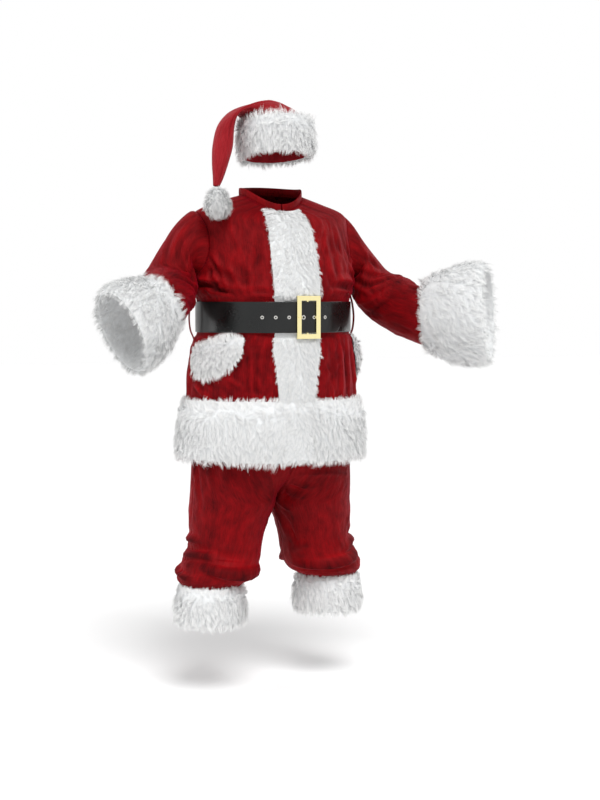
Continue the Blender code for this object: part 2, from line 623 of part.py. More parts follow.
def trousers(side):
    """The outer face of one half of the trousers: u runs from the side seam (0) to the inner edge,
    by the front at +1 and by the back at -1."""
    def surface(u, t):
        row = between(TROUSERS, t)
        height, centre_x, stride, half_width, half_depth, joined, hip_width, hip_depth = row
        joined = min(max(joined, 0.0), 1.0)
        leg_x = centre_x + half_width * math.cos(math.pi * u)
        leg_y = side * stride - half_depth * math.sin(math.pi * u)
        hip_x = hip_width * math.cos(math.pi * u / 2)
        hip_y = HIP_CENTRE_Y - hip_depth * math.sin(math.pi * u / 2)
        x = leg_x + (hip_x - leg_x) * joined
        y = leg_y + (hip_y - leg_y) * joined
        return Vector((side * max(x, GAP / 2), y, height - NECK_HEIGHT))
    return surface


def trouser_panel(name, side, front, group):
    last_row = len(TROUSERS) - 1
    places = []
    for t in range(last_row + 1):
        seam = GAP / 2 / (math.pi * TROUSERS[t][4])
        last = 1 - seam
        shares = [seam + (last - seam) * j / LEG_COLUMNS for j in range(LEG_COLUMNS + 1)]
        places.append([(share if front else -share, t) for share in shares])
    panel(name, trousers(side), places, side * CLOTH, last_row, group)


def leg_fur(label, side, group):
    _, centre_x, stride, *_ = TROUSERS[1]
    centre = Vector((side * centre_x, side * stride, -NECK_HEIGHT))
    loops = []
    for k in range(RING_STEPS):
        turn = 2 * math.pi * k / RING_STEPS
        out = Vector((math.cos(turn), math.sin(turn), 0))
        loops.append([centre + out * radius + Vector((0, 0, height)) for radius, height in LEG_FUR_PROFILE])
    loft(f"leg_fur_{label}", loops, True, FUR, group)


def hat_crown(group):
    rings = []
    for row in CROWN:
        outer_x, outer_z, inner_x, inner_z, half_depth, centre_y, tilt = row
        centre = Vector(((outer_x + inner_x) / 2, centre_y, (outer_z + inner_z) / 2 - NECK_HEIGHT))
        reach = Vector(((outer_x - inner_x) / 2, 0, (outer_z - inner_z) / 2))
        ring = []
        for k in range(RING_STEPS):
            turn = 2 * math.pi * k / RING_STEPS
            point = centre + reach * math.cos(turn) + Vector((0, half_depth * math.sin(turn), 0))
            point.z -= tilt * (point.y - HAT_CENTRE_Y)
            ring.append(point)
        rings.append(ring)
    tube("hat_crown", rings, True, VELVET, group)


def hat_fur(group):
    loops = []
    for k in range(RING_STEPS):
        turn = 2 * math.pi * k / RING_STEPS
        loop = []
        for out, height in HAT_FUR_PROFILE:
            x = (HAT_BAND_HALF_WIDTH + out) * math.cos(turn)
            y = (HAT_BAND_HALF_DEPTH + out) * math.sin(turn)
            loop.append(Vector((x, HAT_CENTRE_Y + y, height - HAT_TILT * y - NECK_HEIGHT)))
        loops.append(loop)
    loft("hat_fur", loops, True, FUR, group)


def hat_pompom(group):
    shape = bmesh.new()
    bmesh.ops.create_uvsphere(
        shape, u_segments=POMPOM_COLUMNS, v_segments=POMPOM_ROWS, radius=POMPOM_RADIUS
    )
    mesh = bpy.data.meshes.new("hat_pompom")
    shape.to_mesh(mesh)
    shape.free()
    obj = new_object("hat_pompom", mesh, FUR, group)
    x, y, height = POMPOM_CENTRE
    obj.location = (x, y, height - NECK_HEIGHT)


def main():
    clear_scene()
    suit = collection("santa_suit")
    cutters = collection("cutters")
    jacket_panels(suit)
    for label, side, rings, profile, mouth, pocket in (
        ("left", 1, LEFT_SLEEVE, LEFT_CUFF, LEFT_MOUTH, LEFT_POCKET),
        ("right", -1, RIGHT_SLEEVE, RIGHT_CUFF, RIGHT_MOUTH, RIGHT_POCKET),
    ):
        end, axis = sleeve(label, side, rings, suit)
        sleeve_cuff(label, side, profile, mouth, end, axis, suit)
        pocket_fur(label, side, pocket, suit)
        belt_loop(label, side, suit)
        leg_fur(label, side, suit)
        for part, front in (("front", True), ("back", False)):
            trouser_panel(f"trouser_{part}_{label}", side, front, suit)
    placket(suit)
    hem_fur(suit)
    neckband(suit)
    strap = belt_strap(suit)
    buckle(suit, cutters)
    eyelets(strap, suit, cutters)
    hat_crown(suit)
    hat_fur(suit)
    hat_pompom(suit)


main()
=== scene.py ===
import math

import bpy
import numpy as np
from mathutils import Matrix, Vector, kdtree


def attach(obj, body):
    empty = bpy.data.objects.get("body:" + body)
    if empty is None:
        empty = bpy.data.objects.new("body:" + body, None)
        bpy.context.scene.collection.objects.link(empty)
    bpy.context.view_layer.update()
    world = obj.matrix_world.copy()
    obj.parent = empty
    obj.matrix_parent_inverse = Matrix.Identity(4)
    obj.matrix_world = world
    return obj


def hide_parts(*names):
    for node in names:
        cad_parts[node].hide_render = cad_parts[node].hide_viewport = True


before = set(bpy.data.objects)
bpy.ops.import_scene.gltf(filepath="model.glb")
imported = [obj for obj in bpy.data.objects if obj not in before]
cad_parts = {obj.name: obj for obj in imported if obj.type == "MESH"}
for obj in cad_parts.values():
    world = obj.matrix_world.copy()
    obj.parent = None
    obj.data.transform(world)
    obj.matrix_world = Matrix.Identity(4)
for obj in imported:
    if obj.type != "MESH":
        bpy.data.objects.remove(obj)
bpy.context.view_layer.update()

neckHeight = 1.54  # the frame's origin above the wearer's soles; tables give heights above the soles
wallThick = 0.0016  # a little thinner than the solids' cloth
gap = 0.0003  # between pieces that meet


def report(*words):
    print("scene:", *words)


def linear(hexColour):
    channels = [int(hexColour[i:i + 2], 16) / 255 for i in (1, 3, 5)]
    bent = [c / 12.92 if c <= 0.04045 else ((c + 0.055) / 1.055) ** 2.4 for c in channels]
    return (*bent, 1.0)


def between(rows, t):
    # The columns at distance t up a table, on a smooth curve through its rows
    table, t = np.array(rows, float), np.asarray(t, float)
    first = np.clip(t.astype(int), 0, len(table) - 2)
    part = (t - first)[..., None]
    before, low, high, after = (table[np.clip(first + k, 0, len(table) - 1)] for k in (-1, 0, 1, 2))
    rise, fall = (high - before) / 2, (after - low) / 2
    bend = 2 * (low - high) + rise + fall
    return low + part * (rise + part * (3 * (high - low) - 2 * rise - fall + part * bend))


def unit(vectors):
    return vectors / np.maximum(np.linalg.norm(vectors, axis=-1, keepdims=True), 1e-9)


def smooth(low, high, value):
    share = np.clip((value - low) / (high - low), 0.0, 1.0)
    return share * share * (3 - 2 * share)


def stack(x, y, z):
    return np.stack(np.broadcast_arrays(x, y, z), axis=-1).astype(float)


def folds(a, b, rows, scale):
    # How far creases move a place (a, b), in metres: out from the cloth, and down
    out, down = np.zeros(a.shape), np.zeros(a.shape)
    for angle, height, toAngle, toHeight, bow, half, depth, drop in rows:
        startA, startB = angle * scale, height
        runA, runB = (toAngle - angle) * scale, toHeight - height
        length = math.hypot(runA, runB)
        along = ((a - startA) * runA + (b - startB) * runB) / length**2
        across = ((b - startB) * runA - (a - startA) * runB) / length
        across = across - bow * 0.001 * 4 * along * (1 - along)
        inside = np.clip(1 - (2 * along - 1) ** 2, 0, 1)
        reach = half * 0.001 * (0.65 + 0.35 * inside)
        x = across / reach
        x = np.where(x > 0, x / 1.35, x)  # one flank is softer than the other
        shape = np.exp(-x * x) - 0.32 * np.exp(-((np.abs(x) - 1.9) / 0.8) ** 2)
        move = depth * 0.001 * inside**0.75 * shape
        out += move
        down += drop * np.abs(move)
    return out, down


def allFolds(angle, along, tables, scale, turns=(0,)):
    # The creases of several tables of rows together, where a tube's are met again a whole turn on
    out, down = 0, 0
    for turn in turns:
        for rows, deeper in tables:
            moreOut, moreDown = folds((angle + turn) * scale, along, rows, scale)
            out, down = out + moreOut * deeper, down + moreDown * deeper
    return out, down


def crumples(count, span, levels, scale, depth, seed, lean=0.5):
    # Many small uneven creases, as rows for folds(), with their angles in span and heights in levels
    rng = np.random.default_rng(seed)
    rows = []
    for _ in range(count):
        angle, height = rng.uniform(*span), rng.uniform(*levels)
        length = rng.uniform(0.025, 0.085)
        turn = rng.normal(math.pi / 2, lean)
        step = length * math.cos(turn) / scale
        half, bow = rng.uniform(3.6, 8.0), rng.normal(0, 4)
        move = rng.uniform(0.35, 1.0) * depth * rng.choice((-1, 1))
        rows.append((angle, height, angle + step, height + length * math.sin(turn), bow, half, move, 0.0))
    return rows


def waves(a, b, seed, size):
    # Broad unevenness of a few long waves, from about -1 to 1
    rng = np.random.default_rng(seed)
    total = np.zeros(a.shape)
    for _ in range(7):
        turn, pitch = rng.uniform(0, math.pi), size * rng.uniform(0.6, 1.8)
        across = a * math.cos(turn) + b * math.sin(turn)
        total += np.sin(across * 2 * math.pi / pitch + rng.uniform(0, 6.3))
    return total / 3.5


def newMesh(name, points, faces):
    # faces holds one or more arrays, each of faces with the same number of corners
    mesh = bpy.data.meshes.new(name)
    loops = np.concatenate([f.ravel() for f in faces]).astype(np.int32)
    sizes = np.concatenate([np.full(len(f), f.shape[1]) for f in faces])
    starts = np.concatenate([[0], np.cumsum(sizes)[:-1]]).astype(np.int32)
    mesh.vertices.add(len(points))
    mesh.vertices.foreach_set("co", np.asarray(points, np.float32).ravel())
    mesh.loops.add(len(loops))
    mesh.loops.foreach_set("vertex_index", loops)
    mesh.polygons.add(len(sizes))
    mesh.polygons.foreach_set("loop_start", starts)
    mesh.update(calc_edges=True)
    mesh.shade_smooth()
    obj = bpy.data.objects.new(name, mesh)
    bpy.context.scene.collection.objects.link(obj)
    return obj


def gridFaces(rows, columns, wrapRows=False, wrapColumns=False):
    i, j = np.meshgrid(np.arange(rows if wrapRows else rows - 1),
                       np.arange(columns if wrapColumns else columns - 1), indexing="ij")
    nextI, nextJ = (i + 1) % rows, (j + 1) % columns
    corners = (i * columns + j, i * columns + nextJ, nextI * columns + nextJ, nextI * columns + j)
    return np.stack([c.ravel() for c in corners], axis=1)


def addUv(obj, name, places):
    # A UV map from one place for each vertex
    layer = obj.data.uv_layers.new(name=name)
    corner = np.empty(len(obj.data.loops), np.int32)
    obj.data.loops.foreach_get("vertex_index", corner)
    layer.data.foreach_set("uv", np.asarray(places, np.float32)[corner].ravel())


def addShade(obj, name, values):
    layer = obj.data.attributes.new(name, "FLOAT", "POINT")
    layer.data.foreach_set("value", np.asarray(values, np.float32).ravel())


def tubeNormals(points):
    # Outward unit normals of a tube whose columns run round it
    across = np.roll(points, -1, 1) - np.roll(points, 1, 1)
    normals = unit(np.cross(across, np.gradient(points, axis=0)))
    outwards = np.sum((points - points.mean(axis=1, keepdims=True)) * normals)
    return normals if outwards >= 0 else -normals


def clothSheet(name, points, normals, a, b, out, down, outwards, material, wrap=False):
    # A thin cloth wall on a grid of places, moved out by its creases and down where it hangs over
    moved = points + normals * out[..., None]
    moved[..., 2] -= down
    faces = gridFaces(*a.shape, wrapColumns=wrap)
    if not outwards:
        faces = faces[:, ::-1]
    obj = newMesh(name, moved.reshape(-1, 3), [faces])
    addUv(obj, "clothMetres", np.stack([a.ravel(), b.ravel()], axis=1))
    # Painted shade and highlight of the creases: the velvet's colour goes lighter where the cloth stands out
    # and darker in the troughs
    addShade(obj, "fold", np.tanh(out.ravel() / 0.011))
    wall = obj.modifiers.new("wall", "SOLIDIFY")
    wall.thickness = wallThick
    wall.offset = -1
    obj.data.materials.append(material)
    return obj


madeFor = {}  # each piece made here, by the CAD node that it stands for


def placed(obj, node):
    obj.name = node + "_made"
    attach(obj, "root")
    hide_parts(node)
    madeFor[node] = obj
    return obj


def feed(tree, node, **inputs):
    # Inputs, each by name or as i and its number, from a value or from another node's output
    for key, value in inputs.items():
        socket = node.inputs[int(key[1:]) if key[1:].isdigit() else key.replace("_", " ")]
        if isinstance(value, bpy.types.NodeSocket):
            tree.links.new(value, socket)
        else:
            socket.default_value = value
    return node


def addNode(tree, kind, settings=None, **inputs):
    node = tree.nodes.new(kind)
    for key, value in (settings or {}).items():
        setattr(node, key, value)
    return feed(tree, node, **inputs)


def newMaterial(name):
    made = bpy.data.materials.new(name)
    made.use_nodes = True
    return made, made.node_tree, made.node_tree.nodes["Principled BSDF"]


def ramp(tree, value, stops):
    node = addNode(tree, "ShaderNodeValToRGB", None, Fac=value)
    elements = node.color_ramp.elements
    while len(elements) < len(stops):
        elements.new(0.5)
    for element, (place, colour) in zip(elements, stops):
        element.position = place
        element.color = colour
    return node.outputs["Color"]


def grey(value):
    return (value, value, value, 1.0)


# Widths of the nap's streaks and patches are in millimetres.
# deep: the painted shade in crease troughs and the nap's darkest red; bright: the painted highlight on ridges
# and the nap's painted sheen
velvetLook = dict(deep="#3c0104", bright="#92040c", sheen="#c01c3c", sheenWeight=0.38, streak=2.2, patch=26)
hatLook = dict(velvetLook, deep="#741016", bright="#a3222a", sheen="#c86a70", sheenWeight=0.6)


def crushedVelvet(name, look):
    # Polyester velvet, nap crushed flat in patches: sheen painted in as lighter patches, painted highlight on
    # ridges, painted near black-red shade in troughs
    made, tree, shader = newMaterial(name)
    place = addNode(tree, "ShaderNodeUVMap", {"uv_map": "clothMetres"}).outputs["UV"]
    flat = {"noise_dimensions": "2D"}

    def noise(across, along, **settings):
        # Across and along the grain, in millimetres
        scale = (1000 / across, 1000 / along, 1)
        spread = addNode(tree, "ShaderNodeMapping", None, Vector=place, Scale=scale).outputs[0]
        return addNode(tree, "ShaderNodeTexNoise", flat, Vector=spread, Scale=1.0, **settings).outputs[0]

    def weigh(value, share, plus, clamp=False):
        settings = {"operation": "MULTIPLY_ADD", "use_clamp": clamp}
        return addNode(tree, "ShaderNodeMath", settings, i0=value, i1=share, i2=plus).outputs[0]

    streaks = noise(look["streak"], 40, Detail=3.0, Roughness=0.6)  # nap drawn out down the grain
    patches = noise(look["patch"], look["patch"] * 1.7, Detail=4.0, Roughness=0.6)
    broad = noise(140, 240, Detail=2.0)
    pile = noise(0.7, 0.7, Detail=1.0)  # coarser than real 0.1 mm pile, so that it shows
    fold = addNode(tree, "ShaderNodeAttribute", {"attribute_name": "fold"}).outputs["Fac"]
    # The nap's patches, streaks and broad waves: partly the cloth's own uneven tone, partly its sheen painted
    # in as lighter red
    napWithPaintedLight = weigh(patches, 0.70, weigh(streaks, 0.55, weigh(broad, 0.40, -0.32)))
    # Painted highlight on the creases' ridges and painted shade in their troughs
    napWithPaintedLight = weigh(fold, 0.34, napWithPaintedLight, True)
    colour = ramp(tree, napWithPaintedLight, ((0.12, linear(look["deep"])), (0.95, linear(look["bright"]))))
    dull = ramp(tree, napWithPaintedLight, ((0.1, grey(0.80)), (1.0, grey(0.50))))
    normal = addNode(tree, "ShaderNodeBump", None, Height=pile, Strength=0.3, Distance=0.0003).outputs[0]
    for height, strength, depth in ((patches, 0.6, 0.0045), (streaks, 0.5, 0.0012)):
        bump = addNode(tree, "ShaderNodeBump", None, Height=height, Strength=strength, Distance=depth,
                       Normal=normal)
        normal = bump.outputs[0]
    feed(tree, shader, Base_Color=colour, Roughness=dull, Normal=normal, Sheen_Weight=look["sheenWeight"],
         Sheen_Roughness=0.35, Sheen_Tint=linear(look["sheen"]), Specular_IOR_Level=0.08)
    return made


def longPile(name, look):
    # Acrylic pile on a knitted back: painted shade, a cool grey, at the roots and on the backing, near white
    # at the drawn-out tips
    made, tree, shader = newMaterial(name)
    place = addNode(tree, "ShaderNodeUVMap", {"uv_map": "OFBake"}).outputs["UV"]
    split = addNode(tree, "ShaderNodeSeparateXYZ", None, Vector=place)
    # Painted shade: cool grey at the roots, going up to near white at the tips
    body = ramp(tree, split.outputs["Y"], ((0.0, linear(look["root"])), (0.75, linear(look["tip"]))))
    tuft = ramp(tree, split.outputs["X"], ((0.0, grey(1 - look["tone"])), (1.0, grey(1.0))))
    settings = {"data_type": "RGBA", "blend_type": "MULTIPLY"}
    mixed = addNode(tree, "ShaderNodeMix", settings, i0=1.0, i6=body, i7=tuft).outputs[2]
    feed(tree, shader, Base_Color=mixed, Roughness=0.65, Specular_IOR_Level=0.2, Sheen_Weight=0.3)
    return made


def glossVinyl(name):
    # Smooth black vinyl: a sharp coat over faint embossed grain, duller where hands have rubbed it
    made, tree, shader = newMaterial(name)
    place = addNode(tree, "ShaderNodeTexCoord").outputs["Object"]
    worn = dict(Vector=place, Scale=14.0, Detail=4.0, Roughness=0.6)
    rubbed = addNode(tree, "ShaderNodeTexNoise", None, **worn).outputs["Fac"]
    dull = ramp(tree, rubbed, ((0.3, grey(0.22)), (0.7, grey(0.38))))
    black = ramp(tree, rubbed, ((0.2, linear("#0a0b0b")), (0.8, linear("#131515"))))
    grain = addNode(tree, "ShaderNodeTexVoronoi", None, Vector=place, Scale=900.0).outputs["Distance"]
    fine = addNode(tree, "ShaderNodeBump", None, Height=grain, Strength=0.12, Distance=0.0004).outputs[0]
    dents = addNode(tree, "ShaderNodeTexNoise", None, Vector=place, Scale=22.0, Detail=2.0).outputs["Fac"]
    soft = addNode(tree, "ShaderNodeBump", None, Height=dents, Strength=0.25, Distance=0.003, Normal=fine)
    feed(tree, shader, Base_Color=black, Roughness=dull, Normal=soft.outputs[0], Specular_IOR_Level=0.32,
         Coat_Weight=0.12, Coat_Roughness=0.12)
    return made


def platedMetal(name, colour, low, high):
    # Plated metal polished by wheel: faint fine scratches and slightly dulled patches
    made, tree, shader = newMaterial(name)
    place = addNode(tree, "ShaderNodeTexCoord").outputs["Object"]
    scratch = addNode(tree, "ShaderNodeMapping", None, Vector=place, Scale=(3000, 200, 90)).outputs["Vector"]
    lines = addNode(tree, "ShaderNodeTexNoise", None, Vector=scratch, Scale=1.0, Detail=2.0).outputs["Fac"]
    dull = addNode(tree, "ShaderNodeTexNoise", None, Vector=place, Scale=60.0, Detail=3.0).outputs["Fac"]
    patchy = ramp(tree, dull, ((0.3, grey(low)), (0.75, grey(high))))
    bump = addNode(tree, "ShaderNodeBump", None, Height=lines, Strength=0.06, Distance=0.0002).outputs[0]
    feed(tree, shader, Base_Color=linear(colour), Metallic=1.0, Roughness=patchy, Normal=bump)
    return made


velvet = crushedVelvet("crushedPolyesterVelvet", velvetLook)
hatVelvet = crushedVelvet("brushedPolyesterVelvet", hatLook)
furLook = dict(
    # root: painted shade at the blades' roots and on the backing; tip: the pile's own near white
    root="#e3e5e6", tip="#fafaf9", tone=0.06,  # tone: how much darker the darkest tuft is
    bladeWidth=0.00078, tuftBlades=18, pinch=0.5, wild=0.30,
    lengthSpread=0.17, liftMiddle=0.95, liftSpread=0.16, drawn=0.45,
)
pileFur = longPile("knittedAcrylicPile", furLook)
vinyl = glossVinyl("calenderedVinyl")
brass = platedMetal("polishedBrass", "#fbeeb4", 0.07, 0.17)
nickel = platedMetal("platedNickel", "#cfcdc8", 0.18, 0.34)
report("materials made")


# frontZ, sideZ, backZ, halfWidth, centreY, frontDepth, backDepth
jacketRows = (
    (0.725, 0.733, 0.733, 0.286, -0.010, 0.222, 0.200),
    (0.820, 0.825, 0.825, 0.280, -0.010, 0.216, 0.195),
    (0.915, 0.915, 0.915, 0.277, -0.012, 0.212, 0.190),
    (1.020, 1.020, 1.020, 0.270, -0.018, 0.208, 0.180),
    (1.095, 1.095, 1.095, 0.257, -0.022, 0.203, 0.170),
    (1.120, 1.120, 1.120, 0.246, -0.025, 0.200, 0.165),
    (1.215, 1.215, 1.215, 0.246, -0.025, 0.200, 0.165),
    (1.245, 1.245, 1.245, 0.260, -0.020, 0.211, 0.176),
    (1.295, 1.290, 1.300, 0.264, -0.012, 0.208, 0.182),
    (1.360, 1.360, 1.370, 0.262, -0.005, 0.196, 0.180),
    (1.425, 1.430, 1.445, 0.258, 0.000, 0.174, 0.168),
    (1.465, 1.490, 1.500, 0.245, 0.004, 0.142, 0.138),
    (1.482, 1.522, 1.532, 0.172, 0.004, 0.116, 0.106),
    (1.492, 1.545, 1.552, 0.100, 0.000, 0.098, 0.076),
)
beltRow, underarmRow, shoulderRow, neckRow = 5, 8, 11, 13
armholeAngle = math.radians(27)
armholeMiddle, armholeHalf = (underarmRow + shoulderRow) / 2, (shoulderRow - underarmRow) / 2
# Creases. Each row runs from one place to another on its piece; widths and depths are in mm, a
# negative depth is a trough, and drop is how far the fold also hangs down for each mm that it stands out.
# angle, height, toAngle, toHeight, bow, halfWidth, depth, drop
jacketCreases = (
    (-76, 1.400, -52, 1.275, 6, 9, -5, 0.1), (-70, 1.385, -44, 1.300, -5, 8, 4, 0.1),
    (-60, 1.345, -49, 1.262, 4, 7, 5, 0.1), (-50, 1.345, -41, 1.262, 3, 7, 4, 0.0),
    (-66, 1.335, -58, 1.252, -3, 7, -5, 0.2), (-54, 1.325, -46, 1.258, -3, 6, -4, 0.0),
    (-38, 1.330, -36, 1.250, 2, 8, -4, 0.0), (-31, 1.325, -34, 1.250, 2, 8, 3, 0.0),
    (-84, 1.262, -50, 1.243, 12, 7, -7, 0.5), (-80, 1.284, -44, 1.262, 14, 8, 6, 0.6),
    (-70, 1.249, -42, 1.232, 8, 6, -5, 0.5), (-58, 1.262, -28, 1.242, 8, 8, 4, 0.6),
    (-40, 1.246, -14, 1.237, 5, 6, -4, 0.5), (-90, 1.300, -62, 1.268, 8, 7, 5, 0.4),
    (22, 1.310, 30, 1.245, 3, 9, -3, 0.0), (26, 1.260, 60, 1.246, 9, 7, -6, 0.5),
    (34, 1.284, 68, 1.262, 12, 8, 6, 0.6), (50, 1.400, 62, 1.290, 5, 9, -4, 0.1),
    (70, 1.385, 50, 1.300, 6, 8, 4, 0.1), (30, 1.420, 34, 1.285, 4, 11, -3, 0.0),
    (58, 1.330, 74, 1.262, 4, 7, 5, 0.2), (66, 1.300, 84, 1.255, 6, 7, -6, 0.4),
    (-24, 1.430, -29, 1.300, 4, 11, -3, 0.0), (-44, 1.450, -36, 1.350, 5, 11, 3, 0.0),
    (40, 1.455, 44, 1.350, 5, 11, 3, 0.0), (14, 1.44, 18, 1.330, 4, 10, 2, 0.0),
    (-33, 1.080, -30, 0.905, 3, 6, 5, 0.0), (-28, 1.010, -26, 0.920, -4, 5, -4, 0.0),
    (-41, 1.060, -45, 0.930, 2, 8, -4, 0.0), (-82, 0.965, -60, 0.905, 5, 7, 6, 0.2),
    (-74, 1.000, -48, 0.912, 6, 7, -5, 0.1), (-60, 0.965, -42, 0.900, -4, 7, 5, 0.1),
    (-20, 1.105, -23, 0.950, 2, 11, -3, 0.0), (-88, 1.070, -93, 0.900, 3, 9, 5, 0.0),
    (-101, 1.085, -106, 0.880, 2, 11, -6, 0.0), (-52, 0.985, -34, 0.945, 5, 6, 4, 0.1),
    (38, 1.090, 36, 0.900, 3, 8, 4, 0.0), (46, 1.105, 44, 0.910, -3, 7, -5, 0.0),
    (56, 1.100, 59, 0.900, 3, 8, 5, 0.0), (69, 1.090, 72, 0.910, -3, 9, -5, 0.0),
    (27, 1.105, 25, 0.930, 3, 9, -3, 0.0), (82, 1.085, 86, 0.890, 3, 10, 5, 0.0),
    (97, 1.090, 101, 0.880, 3, 10, -5, 0.0), (116, 1.095, 121, 0.890, 4, 11, 5, 0.0),
    (133, 1.080, 137, 0.900, -4, 10, -6, 0.0), (151, 1.095, 149, 0.885, 3, 11, 5, 0.0),
    (168, 1.100, 171, 0.890, 3, 12, -5, 0.0), (-172, 1.090, -175, 0.900, 3, 9, 4, 0.0),
    (-156, 1.085, -153, 0.880, 4, 11, -5, 0.0), (-139, 1.095, -143, 0.905, 4, 10, 5, 0.0),
    (-121, 1.085, -118, 0.880, 3, 11, 6, 0.0), (102, 1.268, 142, 1.248, 12, 8, -7, 0.5),
    (98, 1.290, 138, 1.268, 14, 8, 6, 0.6), (140, 1.262, 180, 1.246, 10, 7, -5, 0.5),
    (146, 1.284, 186, 1.262, 12, 8, 5, 0.6), (-180, 1.262, -142, 1.250, 9, 7, -6, 0.5),
    (-150, 1.288, -104, 1.266, 13, 8, 6, 0.6), (-140, 1.262, -100, 1.246, 9, 7, -6, 0.5),
    (114, 1.400, 134, 1.290, 6, 10, -5, 0.1), (-114, 1.405, -136, 1.300, -6, 10, -5, 0.1),
    (150, 1.430, 158, 1.300, 5, 12, 4, 0.0), (-150, 1.440, -160, 1.310, 5, 12, -4, 0.0),
    (176, 1.420, 178, 1.320, 4, 12, -3, 0.0),
)
jacketLook = dict(
    column=0.0062, backColumn=0.00775, row=0.0056, armRows=46, crumples=330, crumpleDepth=3.4,
    creaseDepth=1.45, unevenness=0.0022, seed=11,
)
jacketScale = 0.25 * math.pi / 180  # metres of cloth for each degree round the body


def slopes(surface, u, t, lastRow):
    # Outward unit normals of a surface whose first way round is anticlockwise from above
    across = surface(u + 1e-3, t) - surface(u - 1e-3, t)
    along = surface(u, np.minimum(t + 1e-2, lastRow)) - surface(u, np.maximum(t - 1e-2, 0))
    return unit(np.cross(across, along))


def jacket(phi, t):
    columns = np.moveaxis(between(jacketRows, t), -1, 0)
    frontZ, sideZ, backZ, halfWidth, centreY, frontDepth, backDepth = columns
    side, ahead = np.sin(phi), np.cos(phi)
    endZ, depth = np.where(ahead > 0, frontZ, backZ), np.where(ahead > 0, frontDepth, backDepth)
    height = sideZ + (endZ - sideZ) * ahead * ahead
    return stack(halfWidth * side, centreY - depth * ahead, height - neckHeight)


def armholeCut(t):
    share = (t - armholeMiddle) / armholeHalf
    return armholeAngle * np.sqrt(np.clip(1 - share * share, 0, None))


def evenRows(heights, first, last, spacing):
    # Table positions from first to last that lie evenly far apart up the cloth
    fine = np.linspace(first, last, 400)
    levels = heights(fine)
    count = int((levels[-1] - levels[0]) / spacing) + 2
    return np.interp(np.linspace(levels[0], levels[-1], count), levels, fine)


def sideHeight(t):
    return between(jacketRows, t)[..., 1]


armTurns = np.pi * np.arange(jacketLook["armRows"] + 1) / jacketLook["armRows"]
armRows = armholeMiddle - armholeHalf * np.cos(armTurns)
panelRows = np.concatenate([
    evenRows(sideHeight, 0, underarmRow, jacketLook["row"])[:-1], armRows,
    evenRows(sideHeight, shoulderRow, neckRow, jacketLook["row"])[1:]])
jacketCrumples = crumples(jacketLook["crumples"], (-180, 180), (0.86, 1.46), jacketScale,
                          jacketLook["crumpleDepth"], jacketLook["seed"])


def jacketFolds(phi, t, height):
    a = np.degrees(phi) * jacketScale
    tables = ((jacketCreases, jacketLook["creaseDepth"]), (jacketCrumples, 1))
    out, down = allFolds(np.degrees(phi), height, tables, jacketScale, (0, -360))
    out = out + jacketLook["unevenness"] * waves(a, height, 3, 0.16)
    fromSide = np.abs((phi + np.pi) % (2 * np.pi) - np.pi) - np.pi / 2
    arm = np.hypot(fromSide / armholeAngle, (t - armholeMiddle) / armholeHalf)
    # Flat at the armhole's seam, beneath the belt, at the neck and beneath the placket
    still = smooth(1.0, 1.25, arm) * smooth(0.049, 0.064, np.abs(height - strapHeight))
    still = still * smooth(neckRow, neckRow - 0.6, t) * smooth(0.054, 0.078, np.abs(a))
    return out * still, down * still


def jacketPanel(name, angles, side):
    t = np.repeat(panelRows[:, None], angles.shape[1], axis=1)
    points = jacket(angles, t)
    normals = slopes(jacket, angles, t, neckRow)
    height = points[..., 2] + neckHeight
    out, down = jacketFolds(angles, t, height)
    if side:
        points[..., 0] = side * np.maximum(side * points[..., 0], gap / 2)
    a = np.degrees(angles) * jacketScale
    obj = clothSheet(name, points, normals, a, height, out, down, side >= 0, velvet)
    return placed(obj, name)


strapWidth, strapThick, strapHeight = 0.094, 0.003, 1.1675
strapClearance, strapOverPlacket = 0.0013, 0.0078
placketStep, lapStep = (21, 38), (325, 350)
strapStart, strapEnd, strapTip, tipPower, tipLeast = 7.8, 400.0, 9.5, 2.4, 0.16

seams = gap / 2 / between(jacketRows, panelRows)[:, 6]
frontEdge = np.pi / 2 - armholeCut(panelRows) - seams
frontShares = np.linspace(0, 1, int(0.40 / jacketLook["column"]))
backShares = np.linspace(0, 1, int(0.80 / jacketLook["backColumn"]))
backFirst = np.pi / 2 + armholeCut(panelRows) + seams
for label, side in (("left", 1), ("right", -1)):
    jacketPanel(f"jacket_front_{label}", side * frontEdge[:, None] * frontShares, side)
jacketPanel("jacket_back", backFirst[:, None] + 2 * (np.pi - backFirst[:, None]) * backShares, 0)
report("jacket panels made")


# x, y, height, axisX, axisY, axisZ, halfUp, halfAcross
leftSleeve = (
    (0.2660, 0.0000, 1.380, 1.000, 0.000, 0.000, 0.088, 0.085),
    (0.2885, 0.0000, 1.352, 0.986, 0.000, -0.165, 0.070, 0.088),
    (0.3200, -0.0080, 1.306, 0.540, -0.174, -0.826, 0.062, 0.089),
    (0.3470, -0.0280, 1.256, 0.522, -0.496, -0.696, 0.073, 0.090),
    (0.3800, -0.0650, 1.223, 0.521, -0.744, -0.413, 0.084, 0.090),
    (0.4080, -0.1170, 1.198, 0.450, -0.870, -0.200, 0.088, 0.087),
    (0.4303, -0.1798, 1.174, 0.790, -0.610, 0.040, 0.092, 0.083),
    (0.4540, -0.1981, 1.171, 0.790, -0.610, 0.040, 0.094, 0.080),
)
rightSleeve = (
    (0.2660, 0.0000, 1.391, 1.000, 0.000, 0.000, 0.099, 0.086),
    (0.2955, 0.0000, 1.362, 0.967, 0.000, -0.253, 0.081, 0.089),
    (0.3210, -0.0080, 1.309, 0.540, -0.195, -0.820, 0.063, 0.089),
    (0.3440, -0.0300, 1.265, 0.455, -0.574, -0.683, 0.073, 0.089),
    (0.3650, -0.0650, 1.243, 0.410, -0.780, -0.470, 0.083, 0.089),
    (0.3850, -0.1150, 1.229, 0.400, -0.860, -0.320, 0.084, 0.086),
    (0.4024, -0.1714, 1.2161, 0.820, -0.320, -0.470, 0.082, 0.082),
    (0.4270, -0.1810, 1.2020, 0.820, -0.320, -0.470, 0.080, 0.080),
)
